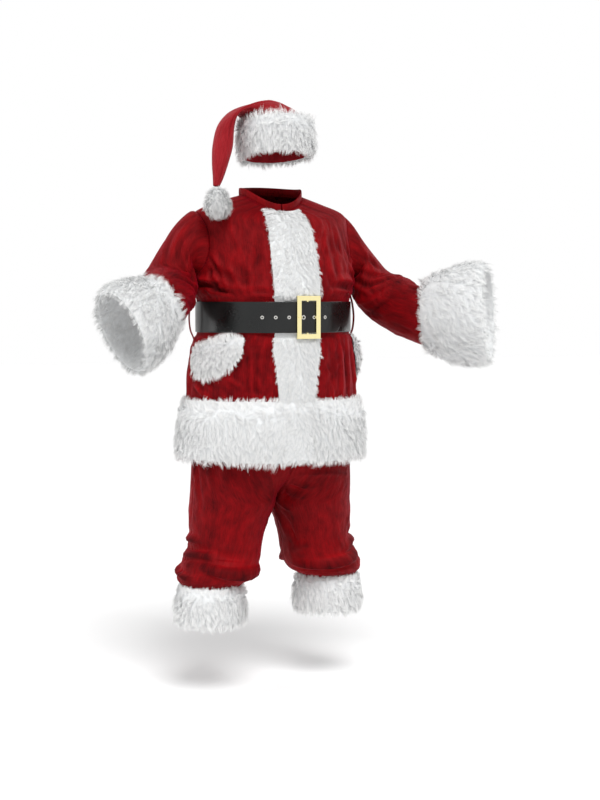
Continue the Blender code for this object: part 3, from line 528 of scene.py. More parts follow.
# turn (0 at the top, 90 in front, 180 beneath), along, toTurn, toAlong, bow, halfWidth, depth, drop
leftSleeveCreases = (
    (152, 0.100, 12, 0.265, 6, 8, -10, 0.2), (132, 0.060, 8, 0.205, 5, 9, 6, 0.2),
    (162, 0.150, 34, 0.310, 5, 8, 6, 0.2), (166, 0.190, 50, 0.335, 4, 7, -6, 0.1),
    (102, 0.050, 38, 0.140, 4, 7, -5, 0.1), (122, 0.270, 88, 0.335, 3, 6, 4, 0.0),
    (142, 0.220, 108, 0.300, 3, 6, -4, 0.0), (20, 0.240, -30, 0.285, 3, 8, -6, 0.1),
    (84, 0.030, 70, 0.120, 3, 9, 3, 0.0), (-40, 0.070, -90, 0.190, 6, 10, 5, 0.1),
    (-60, 0.110, -120, 0.240, 6, 9, -6, 0.1), (-20, 0.170, -110, 0.300, 5, 9, 5, 0.1),
    (-50, 0.240, -140, 0.330, 5, 8, -5, 0.1), (170, 0.080, 200, 0.180, 5, 8, -7, 0.1),
)
rightSleeveCreases = (
    (100, 0.040, 14, 0.265, -5, 4, 5, 0.0), (112, 0.070, 30, 0.275, -4, 8, -5, 0.1),
    (152, 0.160, 34, 0.305, 5, 8, -9, 0.3), (166, 0.200, 58, 0.325, 5, 7, 6, 0.2),
    (140, 0.120, 60, 0.235, 5, 7, 4, 0.1), (60, 0.030, 40, 0.150, 4, 9, -4, 0.0),
    (40, 0.040, 22, 0.180, 4, 10, 3, 0.0), (160, 0.235, 84, 0.335, 4, 6, -5, 0.1),
    (-30, 0.060, -80, 0.200, 6, 10, -5, 0.1), (-60, 0.100, -130, 0.240, 6, 9, 6, 0.1),
    (-40, 0.200, -120, 0.310, 5, 8, -6, 0.1), (-80, 0.250, -150, 0.330, 5, 8, 5, 0.1),
    (172, 0.070, 205, 0.180, 5, 8, -7, 0.1), (80, 0.150, 50, 0.220, 3, 6, -3, 0.0),
)
sleeveLook = dict(row=0.0060, crumples=90, crumpleDepth=2.6)
sleeveScale = 0.085 * math.pi / 180


def oval(centre, axis, side, halfUp, halfAcross, count):
    up = unit(np.array((0, 0, 1.0)) - axis * axis[2])
    forwards = side * np.cross(axis, up)
    turns = 2 * np.pi * np.arange(count)[:, None] / count
    return centre + up * halfUp * np.cos(turns) + forwards * halfAcross * np.sin(turns)


def armholeRing(side):
    down = armRows[::-1]
    front, back = np.pi / 2 - armholeCut(down), np.pi / 2 + armholeCut(armRows[1:-1])
    ring = jacket(side * np.concatenate([front, back]), np.concatenate([down, armRows[1:-1]]))
    return ring + np.array((side * 2 * gap, 0, 0))


def sleeve(label, side, table, creases, seed):
    count = 2 * jacketLook["armRows"]
    rings = [armholeRing(side)]
    for x, y, height, axisX, axisY, axisZ, halfUp, halfAcross in table:
        centre = np.array((side * x, y, height - neckHeight))
        axis = unit(np.array((side * axisX, axisY, axisZ)))
        rings.append(oval(centre, axis, side, halfUp, halfAcross, count))
    rings = np.array(rings)
    middles = rings.mean(axis=1)
    steps = np.concatenate([[0], np.cumsum(np.linalg.norm(np.diff(middles, axis=0), axis=1))])
    along = np.linspace(0, steps[-1], int(steps[-1] / sleeveLook["row"]))
    t = np.interp(along, steps, np.arange(len(steps)))
    points = between(rings.reshape(len(rings), -1), t).reshape(len(t), count, 3)
    normals = tubeNormals(points)
    turn = np.repeat(360 * np.arange(count)[None, :] / count, len(t), axis=0)
    b = np.repeat(along[:, None], count, axis=1)
    small = crumples(sleeveLook["crumples"], (0, 360), (0.02, steps[-1] - 0.02), sleeveScale,
                     sleeveLook["crumpleDepth"], seed)
    out, down = allFolds(turn, b, ((creases, 1), (small, 1)), sleeveScale, (-360, 0, 360))
    still = smooth(0.0, 0.018, b) * smooth(steps[-1], steps[-1] - 0.022, b)
    obj = clothSheet(f"sleeve_{label}", points, normals, turn * sleeveScale, b, out * still, down * still,
                     side > 0, velvet, wrap=True)
    placed(obj, f"sleeve_{label}")
    return middles[-1], axis


sleeves = {}  # where each sleeve ends, and which way it points there
for label, side, table, creases, seed in (
        ("left", 1, leftSleeve, leftSleeveCreases, 23), ("right", -1, rightSleeve, rightSleeveCreases, 29)):
    sleeves[label] = sleeve(label, side, table, creases, seed)
report("sleeves made")


# height, centreX, stride, halfWidth, halfDepth, joined, hipHalfWidth, hipHalfDepth
trouserRows = (
    (0.262, 0.2160, 0.042, 0.0870, 0.087, 0.0, 0.255, 0.177),
    (0.333, 0.2160, 0.041, 0.0890, 0.089, 0.0, 0.255, 0.177),
    (0.358, 0.2040, 0.038, 0.1140, 0.115, 0.0, 0.255, 0.177),
    (0.390, 0.1885, 0.034, 0.1225, 0.128, 0.0, 0.255, 0.177),
    (0.425, 0.1730, 0.028, 0.1175, 0.124, 0.0, 0.255, 0.177),
    (0.465, 0.1605, 0.022, 0.1130, 0.121, 0.0, 0.255, 0.177),
    (0.520, 0.1500, 0.014, 0.1180, 0.132, 0.0, 0.255, 0.177),
    (0.562, 0.1380, 0.008, 0.1270, 0.144, 0.0, 0.255, 0.177),
    (0.590, 0.1300, 0.005, 0.1300, 0.152, 0.0, 0.255, 0.177),
    (0.630, 0.1300, 0.002, 0.1300, 0.157, 0.4, 0.257, 0.179),
    (0.680, 0.1300, 0.000, 0.1300, 0.162, 0.8, 0.258, 0.181),
    (0.750, 0.1300, 0.000, 0.1300, 0.162, 1.0, 0.256, 0.182),
    (0.850, 0.1300, 0.000, 0.1300, 0.162, 1.0, 0.246, 0.173),
    (0.950, 0.1300, 0.000, 0.1300, 0.162, 1.0, 0.222, 0.156),
    (1.030, 0.1300, 0.000, 0.1300, 0.162, 1.0, 0.203, 0.142),
)
hipCentreY = -0.012
# turn (0 at the side seam, 90 in front, 180 at the inner seam), height, ...
rightLegCreases = (
    (10, 0.930, 34, 0.700, 8, 9, 5, 0.0), (24, 0.930, 46, 0.640, 6, 10, -5, 0.0),
    (4, 0.800, 22, 0.545, 5, 8, 5, 0.0), (50, 0.900, 58, 0.600, 4, 13, 3, 0.0),
    (76, 0.880, 72, 0.550, 3, 14, -3, 0.0), (-6, 0.900, 8, 0.600, 4, 9, -5, 0.0),
    (-34, 0.476, 24, 0.480, 4, 8, -11, 0.3), (-30, 0.446, 58, 0.455, 8, 9, 9, 0.6),
    (-24, 0.428, 78, 0.432, 9, 8, -12, 0.5), (28, 0.436, 118, 0.420, 9, 9, 9, 0.8),
    (36, 0.408, 172, 0.388, -14, 10, -19, 0.7), (-34, 0.406, 50, 0.384, -8, 9, 8, 0.5),
    (-50, 0.388, 26, 0.366, 6, 8, -9, 0.4), (96, 0.378, 178, 0.370, 4, 8, 8, 0.4),
    (56, 0.386, 112, 0.366, 6, 7, 7, 0.5), (-120, 0.440, -30, 0.420, 9, 9, -12, 0.5),
    (-140, 0.462, -50, 0.452, 9, 9, 9, 0.6), (-172, 0.405, -70, 0.388, -9, 10, -14, 0.6),
    (-150, 0.382, -60, 0.374, 6, 9, 8, 0.4), (-100, 0.900, -96, 0.640, 4, 12, -4, 0.0),
    (-60, 0.880, -66, 0.600, 4, 12, 4, 0.0), (-130, 0.700, -120, 0.540, 5, 10, -5, 0.0),
    (150, 0.640, 120, 0.590, 4, 7, -4, 0.1), (130, 0.560, 150, 0.470, 4, 10, 3, 0.0),
)
leftLegCreases = (
    (170, 0.640, 122, 0.604, 4, 5, -7, 0.1), (171, 0.662, 118, 0.640, 4, 5, -6, 0.1),
    (170, 0.616, 140, 0.560, 3, 6, -7, 0.1), (172, 0.684, 52, 0.668, -8, 5, -5, 0.2),
    (172, 0.580, 162, 0.470, 4, 7, -7, 0.0), (170, 0.651, 120, 0.622, 4, 5, 5, 0.1),
    (169, 0.628, 130, 0.582, 3, 5, 5, 0.1), (160, 0.560, 140, 0.450, 4, 8, 5, 0.0),
    (-36, 0.505, 16, 0.498, 4, 7, -8, 0.3), (-28, 0.478, 44, 0.470, 6, 9, 8, 0.5),
    (-24, 0.462, 66, 0.428, 9, 8, -12, 0.5), (0, 0.440, 96, 0.410, 7, 9, 8, 0.7),
    (20, 0.414, 168, 0.382, -11, 9, -13, 0.6), (-44, 0.428, 30, 0.398, -7, 9, 7, 0.5),
    (-50, 0.396, 20, 0.372, 6, 8, -9, 0.4), (58, 0.380, 172, 0.370, -5, 8, 8, 0.4),
    (118, 0.455, 162, 0.420, 5, 8, -6, 0.3), (60, 0.900, 66, 0.640, 4, 14, -3, 0.0),
    (30, 0.920, 34, 0.600, 4, 12, 4, 0.0), (8, 0.900, 12, 0.620, 4, 10, -4, 0.0),
    (-130, 0.445, -30, 0.430, 9, 9, -12, 0.5), (-150, 0.466, -60, 0.458, 9, 9, 8, 0.6),
    (-172, 0.400, -76, 0.388, -9, 10, -13, 0.6), (-150, 0.380, -50, 0.374, 6, 9, 8, 0.4),
    (-70, 0.900, -62, 0.620, 4, 12, 4, 0.0), (-104, 0.880, -110, 0.600, 4, 12, -4, 0.0),
)
# Above the table row called hidden, the jacket covers the trousers, and rows are further apart.
trouserLook = dict(row=0.0062, hidden=11.6, hiddenRow=0.025, columns=60, crumples=110, crumpleDepth=2.3)
trouserScale = 0.12 * math.pi / 180


def trousers(side):
    def surface(u, t):
        height, centreX, stride, halfWidth, halfDepth, joined, hipWidth, hipDepth = np.moveaxis(
            between(trouserRows, t), -1, 0)
        joined = np.clip(joined, 0, 1)
        legX = centreX + halfWidth * np.cos(np.pi * u)
        legY = side * stride - halfDepth * np.sin(np.pi * u)
        hipX = hipWidth * np.cos(np.pi * u / 2)
        hipY = hipCentreY - hipDepth * np.sin(np.pi * u / 2)
        x = legX + (hipX - legX) * joined
        y = legY + (hipY - legY) * joined
        return stack(side * np.maximum(x, gap / 2), y, height - neckHeight)
    return surface


def trouserPanel(label, part, side, creases, seed):
    lastRow = len(trouserRows) - 1
    front = 1 if part == "front" else -1

    def heights(t):
        return between(trouserRows, t)[..., 0]

    shown = evenRows(heights, 0, trouserLook["hidden"], trouserLook["row"])
    plain = evenRows(heights, trouserLook["hidden"], lastRow, trouserLook["hiddenRow"])
    rows = np.concatenate([shown[:-1], plain])
    seam = gap / 2 / (np.pi * between(trouserRows, rows)[:, 4])
    shares = seam[:, None] + (1 - 2 * seam[:, None]) * np.linspace(0, 1, trouserLook["columns"])
    u, t = front * shares, np.repeat(rows[:, None], trouserLook["columns"], axis=1)
    surface = trousers(side)
    points = surface(u, t)
    normals = slopes(surface, u, t, lastRow) * side
    height, angle = points[..., 2] + neckHeight, 180 * u
    small = crumples(trouserLook["crumples"], (-180, 180), (0.36, 0.75), trouserScale,
                     trouserLook["crumpleDepth"], seed, 0.35)
    out, down = allFolds(angle, height, ((creases, 1), (small, 1)), trouserScale)
    still = smooth(0.338, 0.362, height)
    name = f"trouser_{part}_{label}"
    moved = points + normals * (out * still)[..., None]
    inward = gap / 2 - side * moved[..., 0]
    points[..., 0] += side * np.maximum(inward, 0)
    obj = clothSheet(name, points, normals, angle * trouserScale, height, out * still, down * still,
                     side * front > 0, velvet)
    return placed(obj, name)


for label, side, creases, seed in (("left", 1, leftLegCreases, 37), ("right", -1, rightLegCreases, 43)):
    for part in ("front", "back"):
        trouserPanel(label, part, side, creases, seed)
report("trousers made")


# outerX, outerHeight, innerX, innerHeight, halfDepth, centreY, tilt
crownRows = (
    (0.0980, 1.665, -0.0980, 1.665, 0.1120, -0.050, 0.12),
    (0.0985, 1.742, -0.1000, 1.778, 0.1120, -0.050, 0.12),
    (0.0820, 1.778, -0.1100, 1.790, 0.1020, -0.050, 0.09),
    (0.0450, 1.808, -0.1170, 1.792, 0.0900, -0.050, 0.06),
    (-0.0200, 1.829, -0.1240, 1.794, 0.0780, -0.050, 0.03),
    (-0.0850, 1.822, -0.1310, 1.793, 0.0660, -0.048, 0.00),
    (-0.1450, 1.797, -0.1390, 1.780, 0.0560, -0.046, 0.00),
    (-0.1860, 1.755, -0.1430, 1.742, 0.0480, -0.047, 0.00),
    (-0.2070, 1.695, -0.1480, 1.688, 0.0410, -0.055, 0.00),
    (-0.2160, 1.640, -0.1680, 1.634, 0.0320, -0.070, 0.00),
    (-0.2220, 1.594, -0.1920, 1.587, 0.0220, -0.092, 0.00),
    (-0.2290, 1.566, -0.2110, 1.560, 0.0110, -0.110, 0.00),
)
# turn, along, toTurn, toAlong, bow, halfWidth, depth, drop
crownCreases = (
    (20, 0.16, 70, 0.27, 5, 8, -4, 0.1), (160, 0.10, 120, 0.24, 5, 8, 4, 0.1),
    (-20, 0.16, -80, 0.28, 5, 9, 5, 0.1), (-150, 0.12, -110, 0.26, 5, 9, -5, 0.1),
    (-60, 0.26, -100, 0.36, 5, 8, -5, 0.1), (-40, 0.34, -110, 0.42, 5, 7, 4, 0.1),
    (-90, 0.40, -80, 0.55, 4, 8, -4, 0.0), (-30, 0.42, -40, 0.58, 4, 8, 4, 0.0),
    (90, 0.38, 100, 0.54, 4, 9, -4, 0.0), (150, 0.36, 140, 0.46, 4, 7, -5, 0.0),
    (-120, 0.10, -60, 0.17, 5, 8, -4, 0.1), (60, 0.10, 110, 0.18, 5, 8, -4, 0.1),
)
hatCentreY, hatTilt, hatHalfWidth, hatHalfDepth = -0.050, 0.12, 0.1005, 0.1125
crownLook = dict(columns=88, row=0.0062, crumples=26, crumpleDepth=1.1, seed=41)
crownScale = 0.09 * math.pi / 180


def hatCrown():
    count = crownLook["columns"]
    places = np.linspace(0, len(crownRows) - 1, 300)
    fine = between(crownRows, places)
    middle = stack((fine[:, 0] + fine[:, 2]) / 2, fine[:, 5], (fine[:, 1] + fine[:, 3]) / 2)
    steps = np.concatenate([[0], np.cumsum(np.linalg.norm(np.diff(middle, axis=0), axis=1))])
    along = np.linspace(0, steps[-1], int(steps[-1] / crownLook["row"]))
    rows = between(crownRows, np.interp(along, steps, places))
    outerX, outerZ, innerX, innerZ, halfDepth, centreY, tilt = (column[:, None] for column in rows.T)
    turn = 2 * np.pi * np.arange(count)[None, :] / count
    x = (outerX + innerX) / 2 + (outerX - innerX) / 2 * np.cos(turn)
    y = centreY + halfDepth * np.sin(turn)
    z = (outerZ + innerZ) / 2 + (outerZ - innerZ) / 2 * np.cos(turn) - tilt * (y - hatCentreY) - neckHeight
    points = stack(x, y, z)
    normals = tubeNormals(points)
    degrees = np.repeat(np.degrees(turn), len(along), axis=0)
    b = np.repeat(along[:, None], count, axis=1)
    small = crumples(crownLook["crumples"], (0, 360), (0.1, steps[-1] - 0.05), crownScale,
                     crownLook["crumpleDepth"], crownLook["seed"])
    out, down = allFolds(degrees, b, ((crownCreases, 1), (small, 1)), crownScale, (-360, 0, 360))
    still = smooth(0.07, 0.13, b) * smooth(steps[-1], steps[-1] - 0.05, b)
    obj = clothSheet("hat_crown", points, normals, degrees * crownScale, b, out * still, down * still, True,
                     hatVelvet, wrap=True)
    return placed(obj, "hat_crown")


hatCrown()
report("hat crown made")


neckbandLook = dict(start=1.0, steps=200)
bandProfile = ((0, 0), (0.0004, 0.007), (0.0003, 0.016), (-0.0004, 0.0212), (-0.0015, 0.022),
               (-0.0026, 0.0212), (-0.003, 0.016), (-0.0034, -0.005), (-0.0024, -0.005))  # out, up


def closedStrip(name, loops, material):
    # A solid strip through loops of points, its two ends filled
    count, wide = loops.shape[:2]
    faces = gridFaces(count, wide, wrapColumns=True)
    ends = np.array([np.arange(wide)[::-1], np.arange(wide) + (count - 1) * wide])
    obj = newMesh(name, loops.reshape(-1, 3), [faces, ends])
    if sum(p.center.dot(p.normal) * p.area for p in obj.data.polygons) < 0:
        obj.data.flip_normals()
    obj.data.materials.append(material)
    return obj


def clothStrip(name, loops, across, along):
    obj = closedStrip(name, loops, velvet)
    addUv(obj, "clothMetres", np.stack([across.ravel(), along.ravel()], axis=1))
    # No painted fold shade or highlight on these strips
    addShade(obj, "fold", np.zeros(across.size))
    return placed(obj, name)


def neckband():
    start = np.radians(neckbandLook["start"])
    phi = start + 2 * (np.pi - start) * np.linspace(0, 1, neckbandLook["steps"])
    foot = jacket(phi, np.full(phi.shape, float(neckRow))) + np.array((0, 0, 2 * gap))
    outwards = unit(foot * np.array((1, 1, 0)))
    loops = np.stack([foot + outwards * out + np.array((0, 0, rise)) for out, rise in bandProfile], axis=1)
    across = np.broadcast_to(np.array([rise for _, rise in bandProfile]), loops.shape[:2])
    along = np.repeat((phi * 0.09)[:, None], len(bandProfile), axis=1)
    return clothStrip("neckband", loops, along, across)


loopPath = (
    (0.2640, 1.246), (0.2655, 1.232), (0.2720, 1.208), (0.2770, 1.168), (0.2735, 1.130),
    (0.2640, 1.106), (0.2600, 1.092), (0.2605, 1.080),
)
loopWidth, loopThick = 0.014, 0.0018


def beltLoop(label, side):
    path = between(loopPath, np.linspace(0, len(loopPath) - 1, 60))
    run = unit(np.gradient(path, axis=0))
    out = np.stack([-run[:, 1], run[:, 0]], axis=1)
    half, centreY = loopWidth / 2, jacketRows[beltRow][4]
    soft = ((0, -0.75), (0, 0.75), (0.3, 0.97), (0.7, 0.97),
            (1, 0.75), (1, -0.75), (0.7, -0.97), (0.3, -0.97))
    loops = np.stack([stack(side * (path[:, 0] + out[:, 0] * loopThick * o), centreY + half * w,
                            path[:, 1] + out[:, 1] * loopThick * o - neckHeight) for o, w in soft], axis=1)
    across = np.broadcast_to(np.array([half * w for _, w in soft]), loops.shape[:2])
    along = np.repeat(path[:, 1][:, None], len(soft), axis=1)
    return clothStrip(f"belt_loop_{label}", loops, across, along)


neckband()
beltLoop("left", 1)
beltLoop("right", -1)
report("neckband and belt loops made")


strapLook = dict(stations=300, edge=0.0009, sag=0.0004)


def strapOut(angle):
    # How far the strap's inner face stands off the jacket, with the angle running past 360
    nearFront = np.abs((angle + 180) % 360 - 180)
    overPlacket = strapOverPlacket * (1 - smooth(*placketStep, nearFront))
    return strapClearance + overPlacket + (strapThick + gap) * smooth(*lapStep, angle)


def beltPoint(angle, out, rise):
    phi, row = np.radians(angle), np.full(np.shape(angle), float(beltRow))
    run = jacket(phi + 1e-3, row) - jacket(phi - 1e-3, row)
    outwards = unit(np.cross(run, np.array((0, 0, 1.0))))
    point = jacket(phi, row) + outwards * np.asarray(out)[..., None]
    point[..., 2] = strapHeight - neckHeight + rise
    return point


def beltStrap():
    angle = np.linspace(strapStart, strapEnd, strapLook["stations"])
    past = np.clip((angle - strapEnd + strapTip) / strapTip, 0, None)
    half = strapWidth / 2 * np.sqrt(np.clip(1 - past**tipPower, tipLeast, None))
    low = strapOut(angle) + strapLook["sag"] * (1 + waves(angle * 0.004, angle * 0, 5, 0.2))
    high, edge = low + strapThick, strapLook["edge"]
    rim = ((low, 0), (low + edge, 0), (high - edge, 0), (high - edge * 0.3, edge * 0.3), (high, edge),
           (high + edge * 0.25, edge * 4))  # out from the jacket, back from the edge
    profile = [(low, 0, -1)] + [(*corner, 1) for corner in rim] + [(*corner, -1) for corner in rim[:0:-1]]
    loops = np.stack([beltPoint(angle, out, way * (half - back)) for out, back, way in profile], axis=1)
    obj = closedStrip("belt_strap", loops, vinyl)
    obj.data.set_sharp_from_angle(angle=math.radians(55))
    return placed(obj, "belt_strap")


beltStrap()
metals = {"buckle_frame": brass, "buckle_prong": brass} | {f"eyelet_{i}": nickel for i in range(1, 7)}
for name, finish in metals.items():
    node = bpy.data.objects[name]
    for index in range(len(node.material_slots)):
        node.material_slots[index].material = finish
report("belt made")


def furPiece(name, points, pile, lay, count, material, seed, wrapRows=False, wrapColumns=True, stand=0.58):
    # Backing on a grid of places, with tufts of tapered blades whose tips draw together
    rng = np.random.default_rng(seed)
    rows, columns = points.shape[:2]
    faces = gridFaces(rows, columns, wrapRows, wrapColumns)
    flat, pileFlat, layFlat = points.reshape(-1, 3), pile.ravel(), lay.reshape(-1, 3)
    corners = flat[faces]
    crossed = np.cross(corners[:, 2] - corners[:, 0], corners[:, 3] - corners[:, 1])
    if np.sum(crossed * (corners.mean(axis=1) - flat.mean(axis=0))) < 0:
        faces, crossed = faces[:, ::-1], -crossed  # the grid runs the other way round
    area = np.linalg.norm(crossed, axis=1) / 2
    vertexNormal = np.zeros_like(flat)
    for k in range(4):
        np.add.at(vertexNormal, faces[:, k], crossed)
    vertexNormal = unit(vertexNormal)
    weight = area * np.where(pileFlat[faces].mean(axis=1) > 0.004, 1, 0)
    chance = weight / weight.sum()

    def scatter(number):
        face = rng.choice(len(faces), number, p=chance)
        s, t = rng.random((number, 1)), rng.random((number, 1))
        mix = ((1 - s) * (1 - t), s * (1 - t), s * t, (1 - s) * t)

        def read(values):
            picked = values[faces[face]]
            return sum(m * picked[:, k].reshape(number, -1) for k, m in enumerate(mix))

        return read(flat), unit(read(vertexNormal)), read(layFlat), read(pileFlat)[:, 0]

    tufts = max(count // furLook["tuftBlades"], 8)
    centre, centreNormal, centreLay, centrePile = scatter(tufts)
    wander = rng.normal(0, furLook["wild"], (tufts, 3))
    drift = 0.35 * np.sin(centre @ rng.normal(0, 38, (3, 3)) + rng.uniform(0, 6, 3))
    tuftLay = unit(centreLay + (wander + drift) * 0.9)
    tuftLay = unit(tuftLay - centreNormal * np.sum(tuftLay * centreNormal, axis=1, keepdims=True) * 0.8)
    tuftLength = centrePile * np.clip(rng.normal(1.0, furLook["lengthSpread"], tufts), 0.62, 1.42)
    tuftLift = np.clip(rng.normal(furLook["liftMiddle"], furLook["liftSpread"], tufts), 0.5, 1.35)
    tuftTone = rng.random(tufts)
    tree = kdtree.KDTree(tufts)
    for index, spot in enumerate(centre):
        tree.insert(spot, index)
    tree.balance()

    root, normal, _, ownPile = scatter(count)
    near = np.array([tree.find(spot)[1] for spot in root])
    besideTuft = np.clip(ownPile / np.maximum(centrePile[near], 1e-4), 0.5, 1.3)
    length = tuftLength[near] * rng.uniform(0.72, 1.06, count) * besideTuft
    lift = tuftLift[near] + rng.normal(0, 0.1, count)
    toTuft = centre[near] - root
    toTuft -= normal * np.sum(toTuft * normal, axis=1, keepdims=True)
    ownLay = unit(tuftLay[near] + rng.normal(0, 0.10, (count, 3)))
    pinch = furLook["pinch"] * rng.uniform(0.6, 1.1, (count, 1))
    rise, bend = np.cos(lift * stand)[:, None], np.sin(lift * stand)[:, None]
    firstStep = unit(normal * bend * 1.15 + ownLay * rise) * (length * 0.5)[:, None]
    middle = root + firstStep + toTuft * pinch * furLook["drawn"]
    secondStep = unit(normal * (bend - 0.36) + ownLay * (rise + 0.30)) * (length * 0.5)[:, None]
    tip = middle + secondStep + toTuft * pinch * furLook["drawn"]
    heading = unit(tip - root)
    wide = unit(np.cross(heading, normal))
    twist = rng.normal(0, 0.5, (count, 1))
    wide = unit(wide * np.cos(twist) + np.cross(heading, wide) * np.sin(twist))
    half = furLook["bladeWidth"] / 2 * rng.uniform(0.7, 1.25, (count, 1))
    blade = np.stack([root - wide * half, root + wide * half, middle + wide * half * 0.8,
                      middle - wide * half * 0.8, tip], axis=1)
    facing = np.cross(blade[:, 1] - blade[:, 0], blade[:, 2] - blade[:, 0])
    turned = np.sum(facing * normal, axis=1) < 0
    blade[turned] = blade[turned][:, [1, 0, 3, 2, 4]]
    facing = unit(np.where(turned[:, None], -facing, facing))

    base = len(flat)
    first = base + np.arange(count)[:, None] * 5
    triangles = np.concatenate([first + np.array([corners]) for corners in ((0, 1, 2), (0, 2, 3), (3, 2, 4))])
    allPoints = np.concatenate([flat, blade.reshape(-1, 3)])
    obj = newMesh(name, allPoints, [faces, triangles])
    tone = np.repeat(tuftTone[near], 5)
    # Up each blade from root to tip, read by the pile's colour for its painted shade at the roots; the
    # backing sits near that painted root shade
    height = np.tile([0.05, 0.05, 0.55, 0.55, 1.0], count)
    places = np.concatenate([np.tile((0.4, 0.15), (base, 1)), np.stack([tone, height], 1)])
    addUv(obj, "OFBake", places)
    soft = unit(normal * 0.75 + facing * 0.35 + tuftLay[near] * 0.12)
    shading = np.concatenate([vertexNormal, np.repeat(soft, 5, axis=0)])
    obj.data.normals_split_custom_set_from_vertices(shading.tolist())
    obj.data.materials.append(material)
    return obj


# row of the jacket, halfWidth, reach
placketRows = (
    (0.0, 0.060, 0.026), (1.0, 0.060, 0.030), (2.0, 0.060, 0.030), (3.0, 0.072, 0.030),
    (3.5, 0.080, 0.026), (3.95, 0.078, 0.0075), (5.0, 0.074, 0.0070), (6.0, 0.074, 0.0070),
    (6.85, 0.076, 0.0075), (7.4, 0.078, 0.026), (9.0, 0.078, 0.028), (11.0, 0.070, 0.026),
    (12.6, 0.062, 0.020),
)
# Reach beneath the strap and how much more beside it, how much wider it spreads where the strap presses
# it out, its longest pile, and how far it stands over the hem's band
placketLook = dict(pressed=0.007, fluffed=0.021, spread=0.005, longest=0.024, pileShare=0.62, overHem=0.021)
# degrees round from the front, top height, bottom height, reach
leftPocket = (
    (64, 1.104, 1.058, 0.010), (68, 1.108, 1.026, 0.024), (73, 1.100, 1.004, 0.032),
    (78, 1.086, 0.992, 0.036), (84, 1.070, 0.984, 0.037), (90, 1.068, 0.982, 0.037),
    (96, 1.068, 0.984, 0.035), (102, 1.066, 0.994, 0.029), (108, 1.060, 1.016, 0.014),
)
rightPocket = (
    (38, 1.108, 1.050, 0.010), (43, 1.114, 1.020, 0.025), (49, 1.114, 1.000, 0.032),
    (56, 1.110, 0.984, 0.036), (63, 1.104, 0.978, 0.037), (70, 1.094, 0.978, 0.037),
    (76, 1.084, 0.984, 0.034), (82, 1.076, 0.998, 0.026), (87, 1.068, 1.018, 0.014),
)
# Backing of each fur cuff: along, halfUp, halfAcross, pile
leftCuff = (
    (-0.003, 0.0965, 0.0825, 0.000), (-0.005, 0.1030, 0.0885, 0.020), (0.022, 0.121, 0.100, 0.030),
    (0.075, 0.144, 0.115, 0.032), (0.142, 0.156, 0.124, 0.032), (0.178, 0.153, 0.122, 0.028),
    (0.190, 0.146, 0.117, 0.022), (0.182, 0.142, 0.113, 0.016), (0.100, 0.121, 0.101, 0.012),
    (0.020, 0.0990, 0.0860, 0.003),
)
rightCuff = (
    (-0.003, 0.0825, 0.0825, 0.000), (-0.005, 0.0890, 0.0885, 0.024), (0.022, 0.102, 0.100, 0.030),
    (0.070, 0.122, 0.115, 0.032), (0.117, 0.133, 0.124, 0.032), (0.145, 0.131, 0.122, 0.028),
    (0.156, 0.124, 0.117, 0.022), (0.149, 0.120, 0.113, 0.016), (0.090, 0.106, 0.101, 0.012),
    (0.020, 0.0860, 0.0860, 0.003),
)
leftMouth, rightMouth = (0.790, -0.610, 0.040), (0.910, -0.170, -0.380)
cuffLength = 0.17
# Backing of the leg bands: radius, height, pile
legBand = (
    (0.0905, 0.329, 0.000), (0.0960, 0.331, 0.016), (0.1020, 0.312, 0.026), (0.1050, 0.268, 0.030),
    (0.1035, 0.236, 0.030), (0.0980, 0.224, 0.028), (0.0935, 0.228, 0.012), (0.0910, 0.262, 0.000),
)
# Backing of the hat band: out from the crown, height, pile
hatBand = (
    (0.0008, 1.766, 0.000), (0.0060, 1.770, 0.028), (0.0110, 1.752, 0.030), (0.0130, 1.712, 0.030),
    (0.0110, 1.680, 0.028), (0.0060, 1.664, 0.022), (0.0010, 1.668, 0.006), (0.0008, 1.710, 0.000),
)
pompomCentre, pompomRadius = (-0.224, -0.134, 1.506), 0.047
blades = dict(
    hem_fur=43000, placket_fur=24000, cuff_fur=26500, pocket_fur=8000, leg_fur=16000,
    hat_fur=16500, hat_pompom=9000,
)
# Backing of the hem: row of the jacket, out from the cloth, pile
hemBand = (
    (0.03, 0.0010, 0.000), (0.00, 0.0050, 0.020), (0.03, 0.0120, 0.027), (0.30, 0.0170, 0.028),
    (0.70, 0.0200, 0.028), (1.10, 0.0200, 0.027), (1.50, 0.0170, 0.024), (1.80, 0.0110, 0.022),
    (1.95, 0.0050, 0.018), (1.97, 0.0010, 0.000),
)
# Places on each backing, along its profile and round it
grids = dict(hem=(34, 260), placket=(210, 31), pocket=(50, 19), cuff=(40, 96), leg=(36, 84), hat=(34, 90),
             pompom=(22, 32))
downwards = np.array((0.0, 0.0, -1.0))


def combed(share, direction=downwards):
    # Pile that lies along direction, and turns to stand the other way at the far edge, where share nears 1
    way = 1.0 - 1.9 * smooth(0.62, 0.97, share)
    return way[..., None] * direction


def combedBand(heights, columns):
    # Pile of a band that hangs down, apart from its upper edge
    share = (heights - heights.min()) / np.ptp(heights)
    return combed(np.repeat(share[:, None], columns, axis=1))


def rounded(rows, steps, closed=False):
    # A table's profile, sampled finely on a smooth curve
    if closed:
        table = np.array(rows, float)
        table = np.concatenate([table[-1:], table, table[:2]])
        return between(table, 1 + np.arange(steps) * len(rows) / steps)
    return between(rows, np.linspace(0, len(rows) - 1, steps))


def outFromJacket(phi, t, out):
    phi, t, out = np.broadcast_arrays(phi, t, out)
    return jacket(phi, t) + slopes(jacket, phi, t, neckRow) * out[..., None]


def fur(name, points, pile, lay, seed, **more):
    pile = np.broadcast_to(np.maximum(pile, 0), points.shape[:2])
    lay = np.broadcast_to(lay, points.shape)
    kind = name.replace("_left", "").replace("_right", "")
    obj = furPiece(name, points, pile, lay, blades[kind], pileFur, seed, **more)
    return placed(obj, name)


